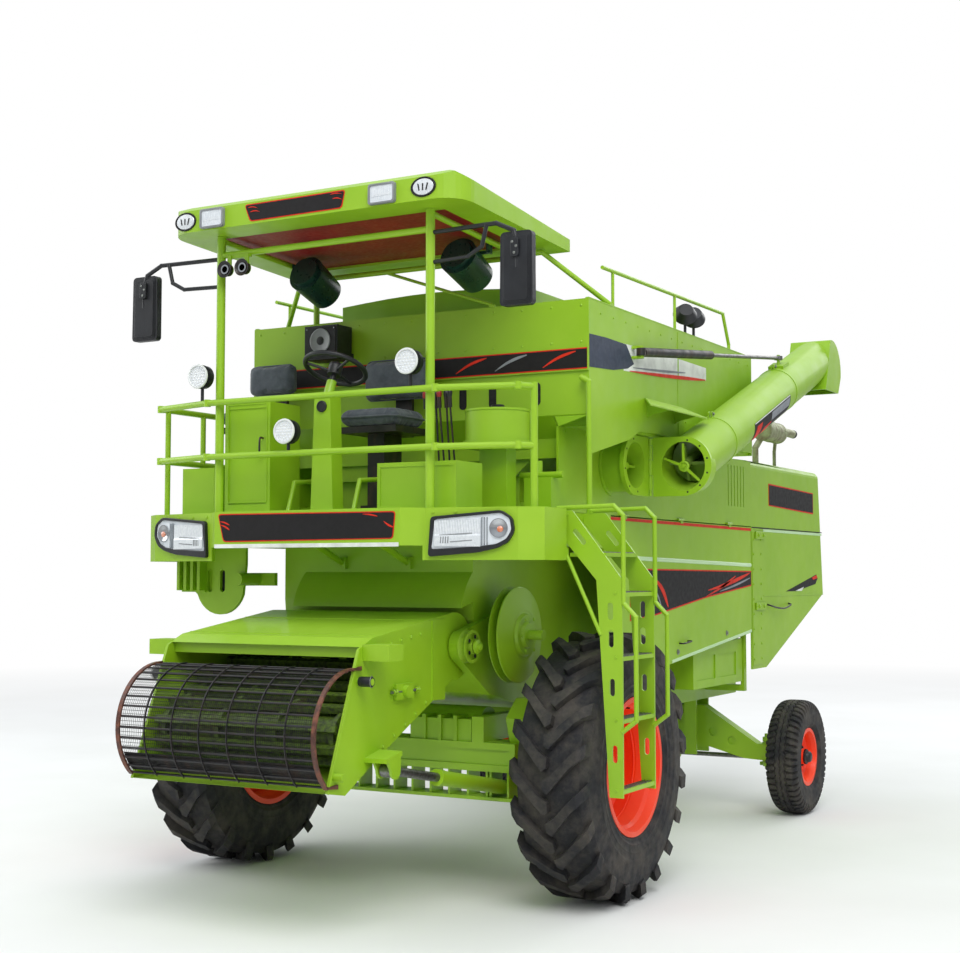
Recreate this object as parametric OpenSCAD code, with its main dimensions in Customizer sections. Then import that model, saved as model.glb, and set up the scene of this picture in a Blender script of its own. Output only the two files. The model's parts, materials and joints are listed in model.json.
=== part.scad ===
// Self-propelled combine harvester with an open operator's platform under a canopy.
// Millimetres, +Z up. The machine drives towards -Y and its left side faces +X.
// Lengths below are counted from the ground under the middle of the front axle.

/* [Wheels and axles] */
// Distance between the front and the rear axle
wheelbase = 3650; // [3400:10:3900]
// Distance between the middles of the two front tyres
front_track = 2610; // [2560:5:2700]
// Distance between the middles of the two rear tyres
rear_track = 2640; // [2600:5:2760]
// Radius of a front tyre over its lugs
front_r = 775; // [760:1:790]
// Width of a front tyre
front_w = 467; // [440:1:480]
// Height of a lug above the carcass
lug_h = 42; // [25:1:55]
// Lugs on each half of a front tyre
lug_n = 20; // [16:1:24]
// Radius of the seat of a front rim
front_rim_r = 385; // [360:1:400]
// Radius of a rear tyre
rear_r = 445; // [430:1:460]
// Width of a rear tyre
rear_w = 250; // [220:1:260]
// Radius of the seat of a rear rim
rear_rim_r = 210; // [190:1:225]
// Radius of the front axle's wheel spindle
spindle_r = 50; // [40:1:60]
// Radius of the rear axle's wheel spindle
rear_spindle_r = 32; // [26:1:38]
// Distance from the middle to a steering kingpin
kingpin_x = 1085; // [1060:1:1095]
// Radius of a steering kingpin
kingpin_r = 26; // [20:1:32]
// Gap all round between a turning shaft and its bore
run_gap = 0.05; // [0.02:0.01:0.1]

/* [Body] */
// Half width of the threshing housing
housing_half = 680; // [660:1:700]
// Distance from the middle to the outer face of a side shield
side_x = 1020; // [980:1:1045]
// Front face of the threshing housing
housing_front = -450; // [-480:1:-430]
// Rear end of the side shields and front end of the rear hood
hood_front = 3490; // [3300:10:3560]
// Rear end of the hood
hood_rear = 5440; // [5200:10:5600]
// Height of the hood's side edge at its top
hood_top = 2790; // [2700:5:2850]
// Height of the line where the side shields hang
shield_top = 2265; // [2240:1:2290]
// Thickness of the sheet and fold of a cover
sheet = 14; // [8:1:24]

/* [Grain tank] */
// Half width of the tank
tank_half = 1250; // [1180:5:1300]
// Front face of the tank
tank_front = -50; // [-70:1:-30]
// Rear face of the tank
tank_rear = 2870; // [2700:10:3000]
// Bottom edge of the tank's walls
tank_bottom = 2850; // [2800:5:2900]
// Top edge of the tank's walls
tank_top = 3545; // [3450:5:3600]
// Thickness of a tank wall with its ribs
tank_wall = 26; // [16:1:40]

/* [Operator's platform] */
// Height of the platform floor
floor_z = 2250; // [2220:1:2280]
// Thickness of the floor
floor_t = 40; // [25:1:60]
// Distance from the middle to a front canopy post
post_x = 740; // [700:1:800]
// Front canopy posts, along the machine
post_y = -1040; // [-1070:1:-1000]
// Radius of a canopy post
post_r = 26; // [20:1:32]
// Radius of a guard rail
rail_r = 19; // [14:1:24]
// Half width of the canopy
canopy_half = 1025; // [960:1:1080]
// Front edge of the canopy
canopy_front = -1215; // [-1300:1:-1150]
// Rear edge of the canopy
canopy_rear = 160; // [100:1:190]
// Lower edge of the canopy at its front
canopy_z = 3942; // [3900:1:3980]
// Height of the canopy's front board
canopy_board = 130; // [100:1:160]

/* [Feeder house] */
// Half width of the feeder house
feeder_half = 645; // [620:1:660]
// Feeder shaft, along the machine
feeder_y = -600; // [-620:1:-590]
// Feeder shaft, above the ground
feeder_z = 1478; // [1460:1:1495]
// Radius of the feeder shaft
feeder_shaft_r = 28; // [22:1:34]
// Radius of the feeder's rounded rear end
feeder_end_r = 195; // [180:1:205]
// Middle of the drum screen, along the machine
screen_y = -1655; // [-1680:1:-1630]
// Middle of the drum screen, above the ground
screen_z = 1065; // [1050:1:1085]
// Radius of the drum screen
screen_r = 335; // [310:1:350]
// Bars of the drum screen
screen_bars = 15; // [10:1:18]

/* [Unloader] */
// Distance from the middle to the unloader's hinge
hinge_x = 1197; // [1180:1:1210]
// Unloader hinge, along the machine
hinge_y = 1000; // [960:1:1040]
// Middle of the unloader's mouth, above the ground
mouth_z = 2592; // [2570:1:2610]
// Distance from the hinge to the middle of the mouth
mouth_off = 230; // [224:1:240]
// Radius of the mouth
mouth_r = 148; // [130:1:155]
// Outer radius of the tube
tube_r = 165; // [150:1:175]
// Length of the tube from the mouth to the spout
tube_len = 3060; // [2700:10:3200]
// Rise of the tube to the rear
tube_rise = 19.8; // [18:0.1:21]

/* [Ladder] */
// Outer face of the ladder
ladder_x = 1700; // [1680:1:1740]
// Front face of the ladder
ladder_y = -600; // [-640:1:-570]
// Length of a tread
tread_len = 430; // [380:5:450]
// How far the handrails stand out from the ladder
hand_out = 78; // [60:1:90]
// Radius of a handrail
hand_r = 13; // [10:1:16]

/* [Hidden] */
$fn = 48;

GREEN = [0.40, 0.64, 0.08];
DARK_GREEN = [0.05, 0.16, 0.10];
ORANGE = [0.90, 0.16, 0.04];
RUBBER = [0.10, 0.10, 0.11];
BLACK = [0.04, 0.04, 0.05];
STEEL = [0.55, 0.56, 0.55];
LINER = [0.32, 0.04, 0.05];
LENS = [0.85, 0.88, 0.92];
RUST = [0.30, 0.17, 0.12];

seat = 0.3;                                  // gap of a moving piece that rests on another
ladder_out = ladder_x + hand_out + hand_r;
screen_front = screen_y - screen_r - 10;
home_at = [-(ladder_out - front_track / 2 - front_w / 2) / 2, -(hood_rear + screen_front) / 2, 0];

// Moves the machine so that the middle of its box stands on the origin
module home() translate(home_at) children();

// Both sides of the machine
module both() for (s = [-1, 1]) scale_x(s) children();
module scale_x(s) if (s > 0) children(); else mirror([1, 0, 0]) children();

// A block from its lowest to its highest corner
module block(lo, hi) translate(lo) cube(hi - lo);

// An outline in the YZ plane, from x0 to x1
module side_plate(x0, x1, points)
    translate([x0, 0, 0]) rotate([90, 0, 90]) linear_extrude(x1 - x0) polygon(points);

// An outline in the XZ plane, from y0 to y1
module front_plate(y0, y1, points)
    translate([0, y1, 0]) rotate([90, 0, 0]) linear_extrude(y1 - y0) polygon(points);

// A round bar along X, Y, or between two points
module bar_x(x0, x1, y, z, r) translate([x0, y, z]) rotate([0, 90, 0]) cylinder(h = x1 - x0, r = r);
module bar_y(y0, y1, x, z, r) translate([x, y0, z]) rotate([-90, 0, 0]) cylinder(h = y1 - y0, r = r);
module bar(a, b, r) {
    v = b - a;
    translate(a) rotate([0, acos(v[2] / norm(v)), atan2(v[1], v[0])]) cylinder(h = norm(v), r = r);
}
// A bent round bar through a list of points
module run(points, r) {
    for (i = [0 : len(points) - 2]) bar(points[i], points[i + 1], r);
    for (i = [1 : 1 : len(points) - 2]) translate(points[i]) sphere(r = r + 0.8);
}

// Points of an arc round [a, b]
function arc(a, b, r, from, to, n) =
    [for (i = [0 : n]) let (t = from + (to - from) * i / n) [a + r * cos(t), b + r * sin(t)]];
// A point turned about the X axis through [y, z]
function turned(p, about, t) = [
    about[0] + (p[0] - about[0]) * cos(t) - (p[1] - about[1]) * sin(t),
    about[1] + (p[0] - about[0]) * sin(t) + (p[1] - about[1]) * cos(t)];

// Wheels

front_carcass_r = front_r - lug_h;
shoulder_r = front_carcass_r - 26;

module front_tyre() {
    half = front_w / 2;
    bead = half - rim_in;
    rotate([0, 90, 0]) rotate_extrude($fn = 96) polygon([
        [front_rim_r + seat, -bead], [front_rim_r + rim_lip + 2 * seat, -bead], [front_rim_r + 60, -half + 10],
        [front_rim_r + 170, -half + 1], [shoulder_r - 40, -half + 14], [shoulder_r + 12, -half + 44],
        [front_carcass_r, -52], [front_carcass_r, 52], [shoulder_r + 12, half - 44], [shoulder_r - 40, half - 14],
        [front_rim_r + 170, half - 1], [front_rim_r + 60, half - 10], [front_rim_r + rim_lip + 2 * seat, bead],
        [front_rim_r + seat, bead]]);
    intersection() {
        lug_envelope();
        for (i = [0 : lug_n - 1]) {
            rotate([i * 360 / lug_n, 0, 0]) lug();
            rotate([(i + 0.5) * 360 / lug_n, 0, 0]) mirror([1, 0, 0]) lug();
        }
    }
}

rim_in = 34;                                 // seat of a bead inside the tyre's widest place
rim_lip = 18;                                // height of a rim's flange

// Outline of a lug from above: across the tyre, then along its tread
LUG = [[-12, -58], [18, -78], [150, 70], [244, 142], [244, 214], [150, 138], [40, 28], [-12, -4]];
module lug() translate([0, 0, shoulder_r - 60]) linear_extrude(front_r - shoulder_r + 70) polygon(LUG);
module lug_envelope() {
    half = front_w / 2;
    rotate([0, 90, 0]) rotate_extrude($fn = 96) polygon([
        [shoulder_r - 60, -half + 16], [shoulder_r - 30, -half], [front_r - 30, -half + 4], [front_r, -half + 44],
        [front_r, half - 44], [front_r - 30, half - 4], [shoulder_r - 30, half], [shoulder_r - 60, half - 16]]);
}

module front_rim() {
    half = front_w / 2 - rim_in + seat;
    difference() {
        union() {
            rotate([0, 90, 0]) rotate_extrude($fn = 96) polygon([
                [front_rim_r, half], [front_rim_r + rim_lip, half], [front_rim_r + rim_lip, half + 8],
                [front_rim_r - 12, half + 8], [front_rim_r - 26, half - 40], [front_rim_r - 44, half - 60],
                [front_rim_r - 62, 70], [front_rim_r - 62, -20], [front_rim_r - 90, -44], [spindle_r + 40, -44],
                [spindle_r + 40, 20], [0, 20], [0, 8], [spindle_r + run_gap, 8], [spindle_r + run_gap, -76],
                [spindle_r + 70, -76], [spindle_r + 70, -56], [front_rim_r - 76, -56], [front_rim_r - 48, -40],
                [front_rim_r - 48, 60], [front_rim_r - 30, 100], [front_rim_r - 12, half - 50],
                [front_rim_r, half - 30]]);
            rotate([0, 90, 0]) rotate_extrude($fn = 96) polygon([
                [front_rim_r, -half], [front_rim_r + rim_lip, -half], [front_rim_r + rim_lip, -half - 8],
                [front_rim_r - 14, -half - 8], [front_rim_r - 28, -half + 40], [front_rim_r - 48, -half + 70],
                [front_rim_r - 50, -39], [front_rim_r - 34, -39], [front_rim_r - 34, -half + 80],
                [front_rim_r, -half + 30]]);
        }
        for (i = [0 : 7]) rotate([i * 45 + 22.5, 0, 0]) translate([-80, 0, front_rim_r - 140])
            rotate([0, 90, 0]) cylinder(h = 60, r = 21);
    }
    for (i = [0 : 7]) rotate([i * 45, 0, 0]) translate([-47, 0, 140]) rotate([0, 90, 0])
        cylinder(h = 26, r = 13, $fn = 6);
}

module rear_tyre() {
    half = rear_w / 2;
    bead = half - rim_in;
    rotate([0, 90, 0]) rotate_extrude($fn = 96) polygon(concat(
        [[rear_rim_r + seat, -bead], [rear_rim_r + rear_lip + 2 * seat, -bead], [rear_rim_r + 50, -half + 8],
         [rear_rim_r + 110, -half], [rear_r - 70, -half + 4], [rear_r - 36, -half + 16]],
        [[rear_r - 8, -half + 44]],
        [for (g = [-36, 0, 36]) each [[rear_r, g - 14], [rear_r - 12, g - 9], [rear_r - 12, g + 9],
            [rear_r, g + 14]]],
        [[rear_r - 8, half - 44], [rear_r - 36, half - 16], [rear_r - 70, half - 4],
         [rear_rim_r + 110, half], [rear_rim_r + 50, half - 8], [rear_rim_r + rear_lip + 2 * seat, bead],
         [rear_rim_r + seat, bead]]));
}
rear_lip = 16;

module rear_rim() {
    half = rear_w / 2 - rim_in + seat;
    difference() {
        rotate([0, 90, 0]) rotate_extrude($fn = 72) polygon([
            [rear_rim_r, half], [rear_rim_r + rear_lip, half], [rear_rim_r + rear_lip, half + 7],
            [rear_rim_r - 10, half + 7], [rear_rim_r - 22, half - 24], [rear_rim_r - 30, 30],
            [rear_rim_r - 44, 4], [rear_spindle_r + 56, 16], [rear_spindle_r + 30, 16],
            [rear_spindle_r + 26, 78], [0, 78], [0, 66], [rear_spindle_r + run_gap, 66],
            [rear_spindle_r + run_gap, -70], [rear_spindle_r + 40, -70], [rear_spindle_r + 44, 2],
            [rear_rim_r - 50, -10], [rear_rim_r - 26, -20], [rear_rim_r - 26, -half + 24],
            [rear_rim_r - 10, -half - 7], [rear_rim_r + rear_lip, -half - 7], [rear_rim_r + rear_lip, -half],
            [rear_rim_r, -half]]);
        for (i = [0 : 4]) rotate([i * 72, 0, 0]) translate([-40, 0, rear_rim_r - 78])
            rotate([0, 90, 0]) cylinder(h = 80, r = 16);
    }
    for (i = [0 : 5]) rotate([i * 60, 0, 0]) translate([12, 0, 78]) rotate([0, 90, 0])
        cylinder(h = 22, r = 11, $fn = 6);
}

module at_front(s) home() translate([s * front_track / 2, 0, front_r]) scale_x(s) children();
module at_rear(s) home() translate([s * rear_track / 2, wheelbase, rear_r]) scale_x(s) children();

module tyre_front_left() color(RUBBER) at_front(1) front_tyre();
module tyre_front_right() color(RUBBER) at_front(-1) front_tyre();
module tyre_rear_left() color(RUBBER) at_rear(1) rear_tyre();
module tyre_rear_right() color(RUBBER) at_rear(-1) rear_tyre();
module rim_front_left() color(ORANGE) at_front(1) front_rim();
module rim_front_right() color(ORANGE) at_front(-1) front_rim();
module rim_rear_left() color(ORANGE) at_rear(1) rear_rim();
module rim_rear_right() color(ORANGE) at_rear(-1) rear_rim();

// Axles and frame

frame_z = [890, 1040];                       // bottom and top of the frame rails
frame_x = 560;                               // inner face of a frame rail
frame_w = 80;
axle_top = frame_z[0];
axle_y = [-250, -90];
axle_end = 850;                              // where the beam meets a final drive
cage_z = 570;
drive_in = front_track / 2 - 76 - 2;         // face that a front wheel's hub turns against
lift_pin = [-150, 620];                      // pin of the lift cylinders on the axle
lift_x = 735;
lift_eye = [-1450, 868];                     // pin of the lift cylinders on the feeder house
lift_pin_r = 20;

module front_axle() color(GREEN) home() {
    difference() {
        block([-axle_end, axle_y[0], 720], [axle_end, axle_y[1], axle_top]);
        block([-axle_end + 40, axle_y[0] - 1, 760], [axle_end - 40, axle_y[0] + 14, axle_top - 40]);
    }
    // Ribbed guard under the beam
    block([-axle_end, axle_y[0], cage_z - 20], [axle_end, axle_y[1], cage_z]);
    both() for (x = [0 : 130 : 650]) block([x - 7, axle_y[0] + 20, cage_z - 1], [x + 7, axle_y[1], 721]);
    // Transmission
    translate([330, 0, 0]) {
        block([-215, -230, axle_top - 1], [215, 200, 1020]);
        bar_x(-222, 222, -30, 985, 100);
        for (x = [-110, 0, 110]) block([x - 12, -244, axle_top - 1], [x + 12, 205, 1040]);
        bar_x(-222, -150, 120, 960, 70);
    }
    bar_x(-axle_end, 160, 0, front_r + 50, 62);
    bar_x(500, axle_end, 0, front_r + 50, 62);
    both() {
        // Final drive, wheel hub flange and spindle
        side_plate(axle_end - 60, axle_end + 60, concat(
            arc(0, front_r, 190, -200, 20, 14), [[200, 1100], [120, 1150], [-120, 1150], [-250, 1040]]));
        bar_x(axle_end + 59, drive_in - 40, 0, front_r, 150);
        bar_x(drive_in - 41, drive_in, 0, front_r, 110);
        bar_x(drive_in - 1, front_track / 2 + 5, 0, front_r, spindle_r);
        // Ears and pin of a lift cylinder
        for (x = [lift_x - 66, lift_x + 52]) side_plate(x, x + 14, [
            [axle_y[0] + 20, cage_z - 1], [axle_y[1], cage_z - 1], [axle_y[1], 721], [axle_y[0] + 20, 721]]);
        bar_x(lift_x - 60, lift_x + 60, lift_pin[0], lift_pin[1], lift_pin_r);
    }
}

carrier_y = [wheelbase - 150, wheelbase + 100];
rear_pivot_z = 640;

module main_frame() color(GREEN) home() {
    both() {
        block([frame_x, axle_y[0], frame_z[0]], [frame_x + frame_w, wheelbase + 500, frame_z[1]]);
        block([frame_x - 120, carrier_y[0] - 20, 430], [frame_x - 20, carrier_y[0], frame_z[1] - 20]);
        block([frame_x - 120, carrier_y[1], 430], [frame_x - 20, carrier_y[1] + 20, frame_z[1] - 20]);
    }
    for (y = [carrier_y[0] - 20, carrier_y[1]])
        difference() {
            front_plate(y, y + 20, [[-540, 940], [540, 940], [440, 900], [120, 560], [-120, 560], [-440, 900]]);
            bar_y(y - 1, y + 21, 0, rear_pivot_z, 40 + run_gap);
        }
    for (y = [700, 2000, wheelbase + 420])
        block([-frame_x - 1, y, frame_z[0] + 20], [frame_x + 1, y + 80, frame_z[1] - 20]);
    block([-frame_x - 1, carrier_y[0] - 20, frame_z[0] + 20], [frame_x + 1, carrier_y[1] + 20, frame_z[1] - 20]);
    // Tow hitch
    difference() {
        block([-60, wheelbase + 499, 930], [60, wheelbase + 760, 1010]);
        block([-61, wheelbase + 620, 952], [61, wheelbase + 761, 988]);
        translate([0, wheelbase + 700, 900]) cylinder(h = 140, r = 16);
    }
}

module rear_axle() color(GREEN) home() {
    boss = 44;
    difference() {
        union() {
            both() front_plate(wheelbase - 55, wheelbase + 55, [
                [-1, 820], [560, 820], [kingpin_x - 70, 530], [kingpin_x, 530], [kingpin_x, 400], [900, 410],
                [560, 500], [-1, 520]]);
            both() translate([kingpin_x, wheelbase, 392]) cylinder(h = 151, r = boss);
            bar_y(carrier_y[0] - 60, carrier_y[1] + 60, 0, rear_pivot_z, 40);
            // Barrel of the steering cylinder on its two brackets
            bar_x(-260, 260, wheelbase + steer_y, tie_z, 40);
            for (x = [-240, 200]) block([x, wheelbase + 30, tie_z - 14], [x + 40, wheelbase + steer_y - 25, 540]);
        }
        both() {
            translate([kingpin_x, wheelbase, 380]) cylinder(h = 180, r = kingpin_r + run_gap);
            for (x = [640, 800]) front_plate(wheelbase - 56, wheelbase - 40,
                arc(x, 610 - (x - 640) * 0.4, 34, 0, 345, 24));
        }
        bar_x(-300, 300, wheelbase + steer_y, tie_z, tie_r + run_gap);
    }
}

steer_y = 175;                               // tie rod behind the kingpins
tie_r = 18;
tie_end = kingpin_x - 50;
arm_z = [352, 378];                          // under and upper face of a steering arm
tie_z = arm_z[1] + seat + 20;

module tie_rod() color(STEEL) home() {
    bar_x(-tie_end, tie_end, wheelbase + steer_y, tie_z, tie_r);
    both() translate([tie_end, wheelbase + steer_y, tie_z - 20]) cylinder(h = 40, r = 30);
}

module knuckle(s) home() translate([s * kingpin_x, wheelbase, 0]) scale_x(s) {
    hub_in = rear_track / 2 - kingpin_x - 70 - 2;
    translate([0, 0, 330]) cylinder(h = 280, r = kingpin_r);
    translate([0, 0, arm_z[0]]) cylinder(h = 34, r = 42);
    translate([0, 0, 549]) cylinder(h = 34, r = 42);
    // Plate that joins the two ears outside the axle's boss
    block([52, -50, arm_z[0]], [82, 50, 583]);
    block([0, -40, arm_z[0]], [60, 40, 386]);
    block([0, -40, 549], [60, 40, 583]);
    bar_x(80, hub_in, 0, rear_r, 60);
    bar_x(hub_in - 1, rear_track / 2 - kingpin_x + 60, 0, rear_r, rear_spindle_r);
    // Steering arm
    block([-80, 30, arm_z[0]], [20, steer_y + 34, arm_z[1]]);
}
module knuckle_left() color(GREEN) knuckle(1);
module knuckle_right() color(GREEN) knuckle(-1);

// Threshing housing, panels and hood

throat_r = feeder_end_r + 22;                // the housing's hollow round the feeder's end

module threshing_housing() color(GREEN) home() difference() {
    union() {
        side_plate(-housing_half, housing_half, concat(
            [[housing_front, floor_z - floor_t], [housing_front, 1740]],
            arc(feeder_y, feeder_z, throat_r, 42, -46, 12),
            [[-240, 1180], [0, 1120], [400, frame_z[1] + seat], [sieve_y[0] - 20, frame_z[1] + seat],
             [sieve_y[0] - 20, sieve_z[1] + seat], [hood_front - 10, sieve_z[1] + seat],
             [hood_front - 10, grain_z], [recess_y, grain_z], [recess_y, floor_z - floor_t]]));
        // Rolled cover of the drum under the platform
        side_plate(-520, housing_half, concat(arc(drum_y, drum_z + 60, 400, 128, 165, 10),
            [[housing_front + 10, 1730], [housing_front + 10, 2000]]));
        // Bearing plates of the feeder shaft
        both() difference() {
            side_plate(feeder_half + 10, housing_half + 30, concat(
                arc(feeder_y, feeder_z, 90, 90, 250, 12), [[-300, 1180], [-200, 1180], [-200, 1640], [-300, 1640]]));
            bar_x(feeder_half, housing_half + 31, feeder_y, feeder_z, feeder_shaft_r + run_gap);
        }
        // Shafts and belt wheels behind the side shields
        both() for (w = [[1500, 1750, 210], [2350, 1750, 150], [2900, 2050, 170]]) {
            bar_x(housing_half - 2, side_x - 60, w[0], w[1], 30);
            difference() {
                bar_x(side_x - 150, side_x - 100, w[0], w[1], w[2]);
                for (i = [0 : 4]) translate([0, w[0], w[1]]) rotate([i * 72, 0, 0])
                    bar_x(side_x - 160, side_x - 90, 0, w[2] * 0.62, w[2] * 0.2);
            }
        }
    }
    // Bore of the drum pulley's shaft
    bar_x(housing_half - 80, housing_half + 31, drum_y, drum_z, drum_shaft_r);
}

recess_y = 140;                              // front of the housing above the platform's floor
grain_z = 2500;                              // top of the housing, where the tank's trough lies
sieve_y = [2350, hood_front - 80];
sieve_z = [frame_z[1] + seat, 1380];

drum_y = -200;
drum_z = 1533;
drum_shaft_r = 30;
pulley_r = 285;
pulley_x = 830;

module drum_pulley() color(GREEN) home() {
    bar_x(housing_half - 79, pulley_x + 190, drum_y, drum_z, drum_shaft_r - run_gap);
    translate([pulley_x, drum_y, drum_z]) rotate([0, 90, 0]) rotate_extrude($fn = 72) polygon([
        [0, -60], [110, -60], [pulley_r - 8, -34], [pulley_r, -30], [pulley_r, -24], [120, 0], [pulley_r, 24],
        [pulley_r, 30], [pulley_r - 8, 34], [150, 62], [130, 62], [118, 78], [82, 78], [70, 96], [44, 96],
        [0, 96]]);
}

module side_panels() color(GREEN) home() {
    side_panel_pair();
    mirror([1, 0, 0]) {
        side_plate(side_x - sheet, side_x, [[shield_end + 6, shield_top + 9], [hood_front - 12, shield_top + 9],
            [hood_front - 12, 1425], [shield_end + 6, 1390]]);
        block([side_x - 81, hood_front - 58, 1500], [side_x - sheet + 1, hood_front - 30, 2200]);
    }
}
module side_panel_pair() both() difference() {
    union() {
        side_plate(side_x - sheet, side_x, [
            [0, shield_top + 8], [hood_front - seat, shield_top + 8], [hood_front - seat, panel_top], [0, panel_top]]);
        // Frames that carry the panel on the housing
        for (y = [recess_y + 10, 1500, hood_front - 60])
            block([housing_half, y, 2300], [side_x - sheet + 1, y + 30, 2340]);
        block([side_x - 60, 20, shield_top + 8], [side_x - 1, hood_front - 4, shield_top + 24]);
        // Rear post beside the hood
        block([side_x - 80, hood_front - 60, 960], [side_x - 50, hood_front - 6, shield_top + 10]);
        block([frame_x + frame_w, hood_front - 60, 960], [side_x - 51, hood_front - 20, 1010]);
        // Hinge barrels of the shield, with their pins
        for (y = [900, 1900, 2900]) {
            bar_y(y, y + 60, side_x + 10, shield_top + 14, 9);
            bar_y(y + 59, y + 110, side_x + 10, shield_top + 14, 4);
            block([side_x - 1, y, shield_top + 8], [side_x + 10, y + 60, shield_top + 20]);
        }
    }
    for (i = [0 : 5]) block([side_x - 40, 2960 + i * 70, 2420], [side_x + 1, 2976 + i * 70, 2740]);
}
panel_top = tank_bottom - 60;

shield_front = 660;
module shield_outline(x0, x1) side_plate(x0, x1, [
    [shield_front, shield_top], [hood_front - 12, shield_top], [hood_front - 12, 1425],
    [1780, 1262], [shield_front, 1180]]);
module shield(rear) {
    shield_sheet(rear);
    // Knuckles on the panel's hinge pins
    for (y = [900, 1900, 2900]) {
        difference() {
            bar_y(y + 60 + seat, y + 110, side_x + 10, shield_top + 14, 9);
            bar_y(y + 60, y + 111, side_x + 10, shield_top + 14, 4 + run_gap);
        }
        block([side_x + 2, y + 60 + seat, shield_top - 12], [side_x + 6, y + 110, shield_top + 12]);
        block([side_x - 2, y + 60 + seat, shield_top - 12], [side_x + 3, y + 110, shield_top]);
    }
}
module shield_sheet(rear) difference() {
    intersection() {
        shield_outline(side_x - 40, side_x);
        block([0, 0, 1000], [side_x + 1, rear, 2400]);
    }
    // Hollow behind the folded edge
    side_plate(side_x - 41, side_x - sheet, [
        [shield_front + 20, shield_top - 20], [rear - 20, shield_top - 20], [rear - 20, 1448 - (hood_front - rear) * 0.095],
        [1780, 1284], [shield_front + 20, 1202]]);
}
module shield_left() color(GREEN) home() shield(hood_front - 12);
// The right shield ends in front of the grain elevator; a fixed sheet closes the rest
shield_end = 3040;
module shield_right() color(GREEN) home() mirror([1, 0, 0]) shield(shield_end);

module sieve_box() color(GREEN) home() difference() {
    side_plate(-side_x + 60, side_x - 60, [
        [sieve_y[0], sieve_z[0]], [sieve_y[1], sieve_z[0]], [sieve_y[1], sieve_z[1]], [sieve_y[0], sieve_z[1] - 40]]);
    // Pressed panels in its sides
    both() for (y = [sieve_y[0] + 60, sieve_y[0] + 520])
        block([side_x - 70, y, sieve_z[0] + 60], [side_x - 59, y + 400, sieve_z[1] - 100]);
}

module straw_walkers() color(STEEL) home() for (i = [-2 : 2]) {
    x = i * 250;
    difference() {
        side_plate(x - 105, x + 105, [[walker_y, 1560], [walker_y, 1500], [4900, 1800], [5250, 2010],
            [5200, 2040], [4880, 1880]]);
        for (k = [0 : 4]) block([x - 85, 3620 + k * 260, 1400], [x + 85, 3820 + k * 260, 2100]);
    }
}
walker_y = hood_front - 10 + seat;

hood_profile = concat([[hood_front, 1130], [3830, 1130], [hood_rear, 1710], [hood_rear - 120, hood_top - 70]],
    arc(hood_rear - 220, hood_top - 30, 110, 0, 90, 5), [[hood_front, hood_top + 90]]);

module hood_section(half, top)
    polygon(concat([[-half, 900], [half, 900], [half, top - 40]],
        arc(half - 60, top - 40, 60, 20, 70, 3), [[half * 0.6, top + 74], [0, top + 96], [-half * 0.6, top + 74]],
        arc(-half + 60, top - 40, 60, 110, 160, 3), [[-half, top - 40]]));

module rear_hood() color(GREEN) home() difference() {
    intersection() {
        side_plate(-side_x, side_x, concat([[hood_front, 1130], [3830, 1130], [hood_rear, 1710],
            [hood_rear - 110, hood_top - 60]], arc(hood_rear - 260, hood_top + 20, 150, 0, 80, 6),
            [[hood_front, hood_top + 190]]));
        translate([0, hood_rear + 10, 0]) rotate([90, 0, 0]) linear_extrude(hood_rear - hood_front + 20)
            hood_section(side_x, hood_top);
    }
    // Inside, open below and at the rear
    intersection() {
        side_plate(-side_x + sheet, side_x - sheet, [[hood_front - 1, 1100], [3830, 1100],
            [hood_rear + 40, 1680], [hood_rear + 40, 1990], [hood_rear - 130, 2050],
            [hood_rear - 150, hood_top - 20], [hood_front + 20, hood_top + 20], [hood_front - 1, hood_top - 100]]);
        block([-side_x, hood_front - 1, 1000], [side_x, hood_rear + 40, hood_top + 60]);
    }
    // Line between the upper and the lower half
    both() block([side_x - 5, hood_front + 10, shield_top - 5], [side_x + 1, hood_rear + 10, shield_top + 5]);
}

module engine_block() color(STEEL) home() {
    block([-430, hood_front + 60, 2080], [430, hood_front + 1050, 2700]);
    both() block([380, hood_front + 100, 2040], [side_x - sheet, hood_front + 160, 2081]);
    both() block([380, hood_front + 900, 2040], [side_x - sheet, hood_front + 960, 2081]);
}

exhaust_x = 900;
module exhaust() color(STEEL) home() {
    bar_y(4130, 4560, exhaust_x, 3110, 88);
    bar_y(4559, 5000, exhaust_x, 3140, 36);
    run([[exhaust_x, 4180, 3080], [exhaust_x - 60, 4140, 2960], [exhaust_x - 60, 4140, roof_z(exhaust_x - 86)]], 26);
    run([[exhaust_x, 4500, 3060], [exhaust_x - 20, 4520, 2950], [exhaust_x - 20, 4520, roof_z(exhaust_x - 35)]], 15);
}
// Height of the hood's roof over a place between its crown and its edge
function roof_z(x) = hood_top + 74 - 57.6 * (x - side_x * 0.6) / (side_x - 39.5 - side_x * 0.6) + seat;

module grain_elevator() color(GREEN) home() {
    difference() {
        side_plate(-side_x - 170, -side_x - seat, concat([[3060, 1180]], arc(3175, 1180, 115, 180, 360, 12),
            [[3290, 3400]], arc(3175, 3400, 115, 0, 180, 12), [[3060, 3400]]));
        block([-side_x - 171, 3150, 1500], [-side_x - 160, 3200, 3100]);
        // Clear of the shield that swings up beside it
        block([-side_x - 51, 3000, 1000], [-side_x, 3300, shield_top + 30]);
    }
    block([-side_x - 150, tank_rear + 20 + seat, 3180], [-side_x - 20, 3062, 3420]);
    bar_x(-side_x - 200, -side_x - 169, 3175, 1180, 60);
    bar_x(-side_x - 200, -side_x - 169, 3175, 3400, 70);
}

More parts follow.
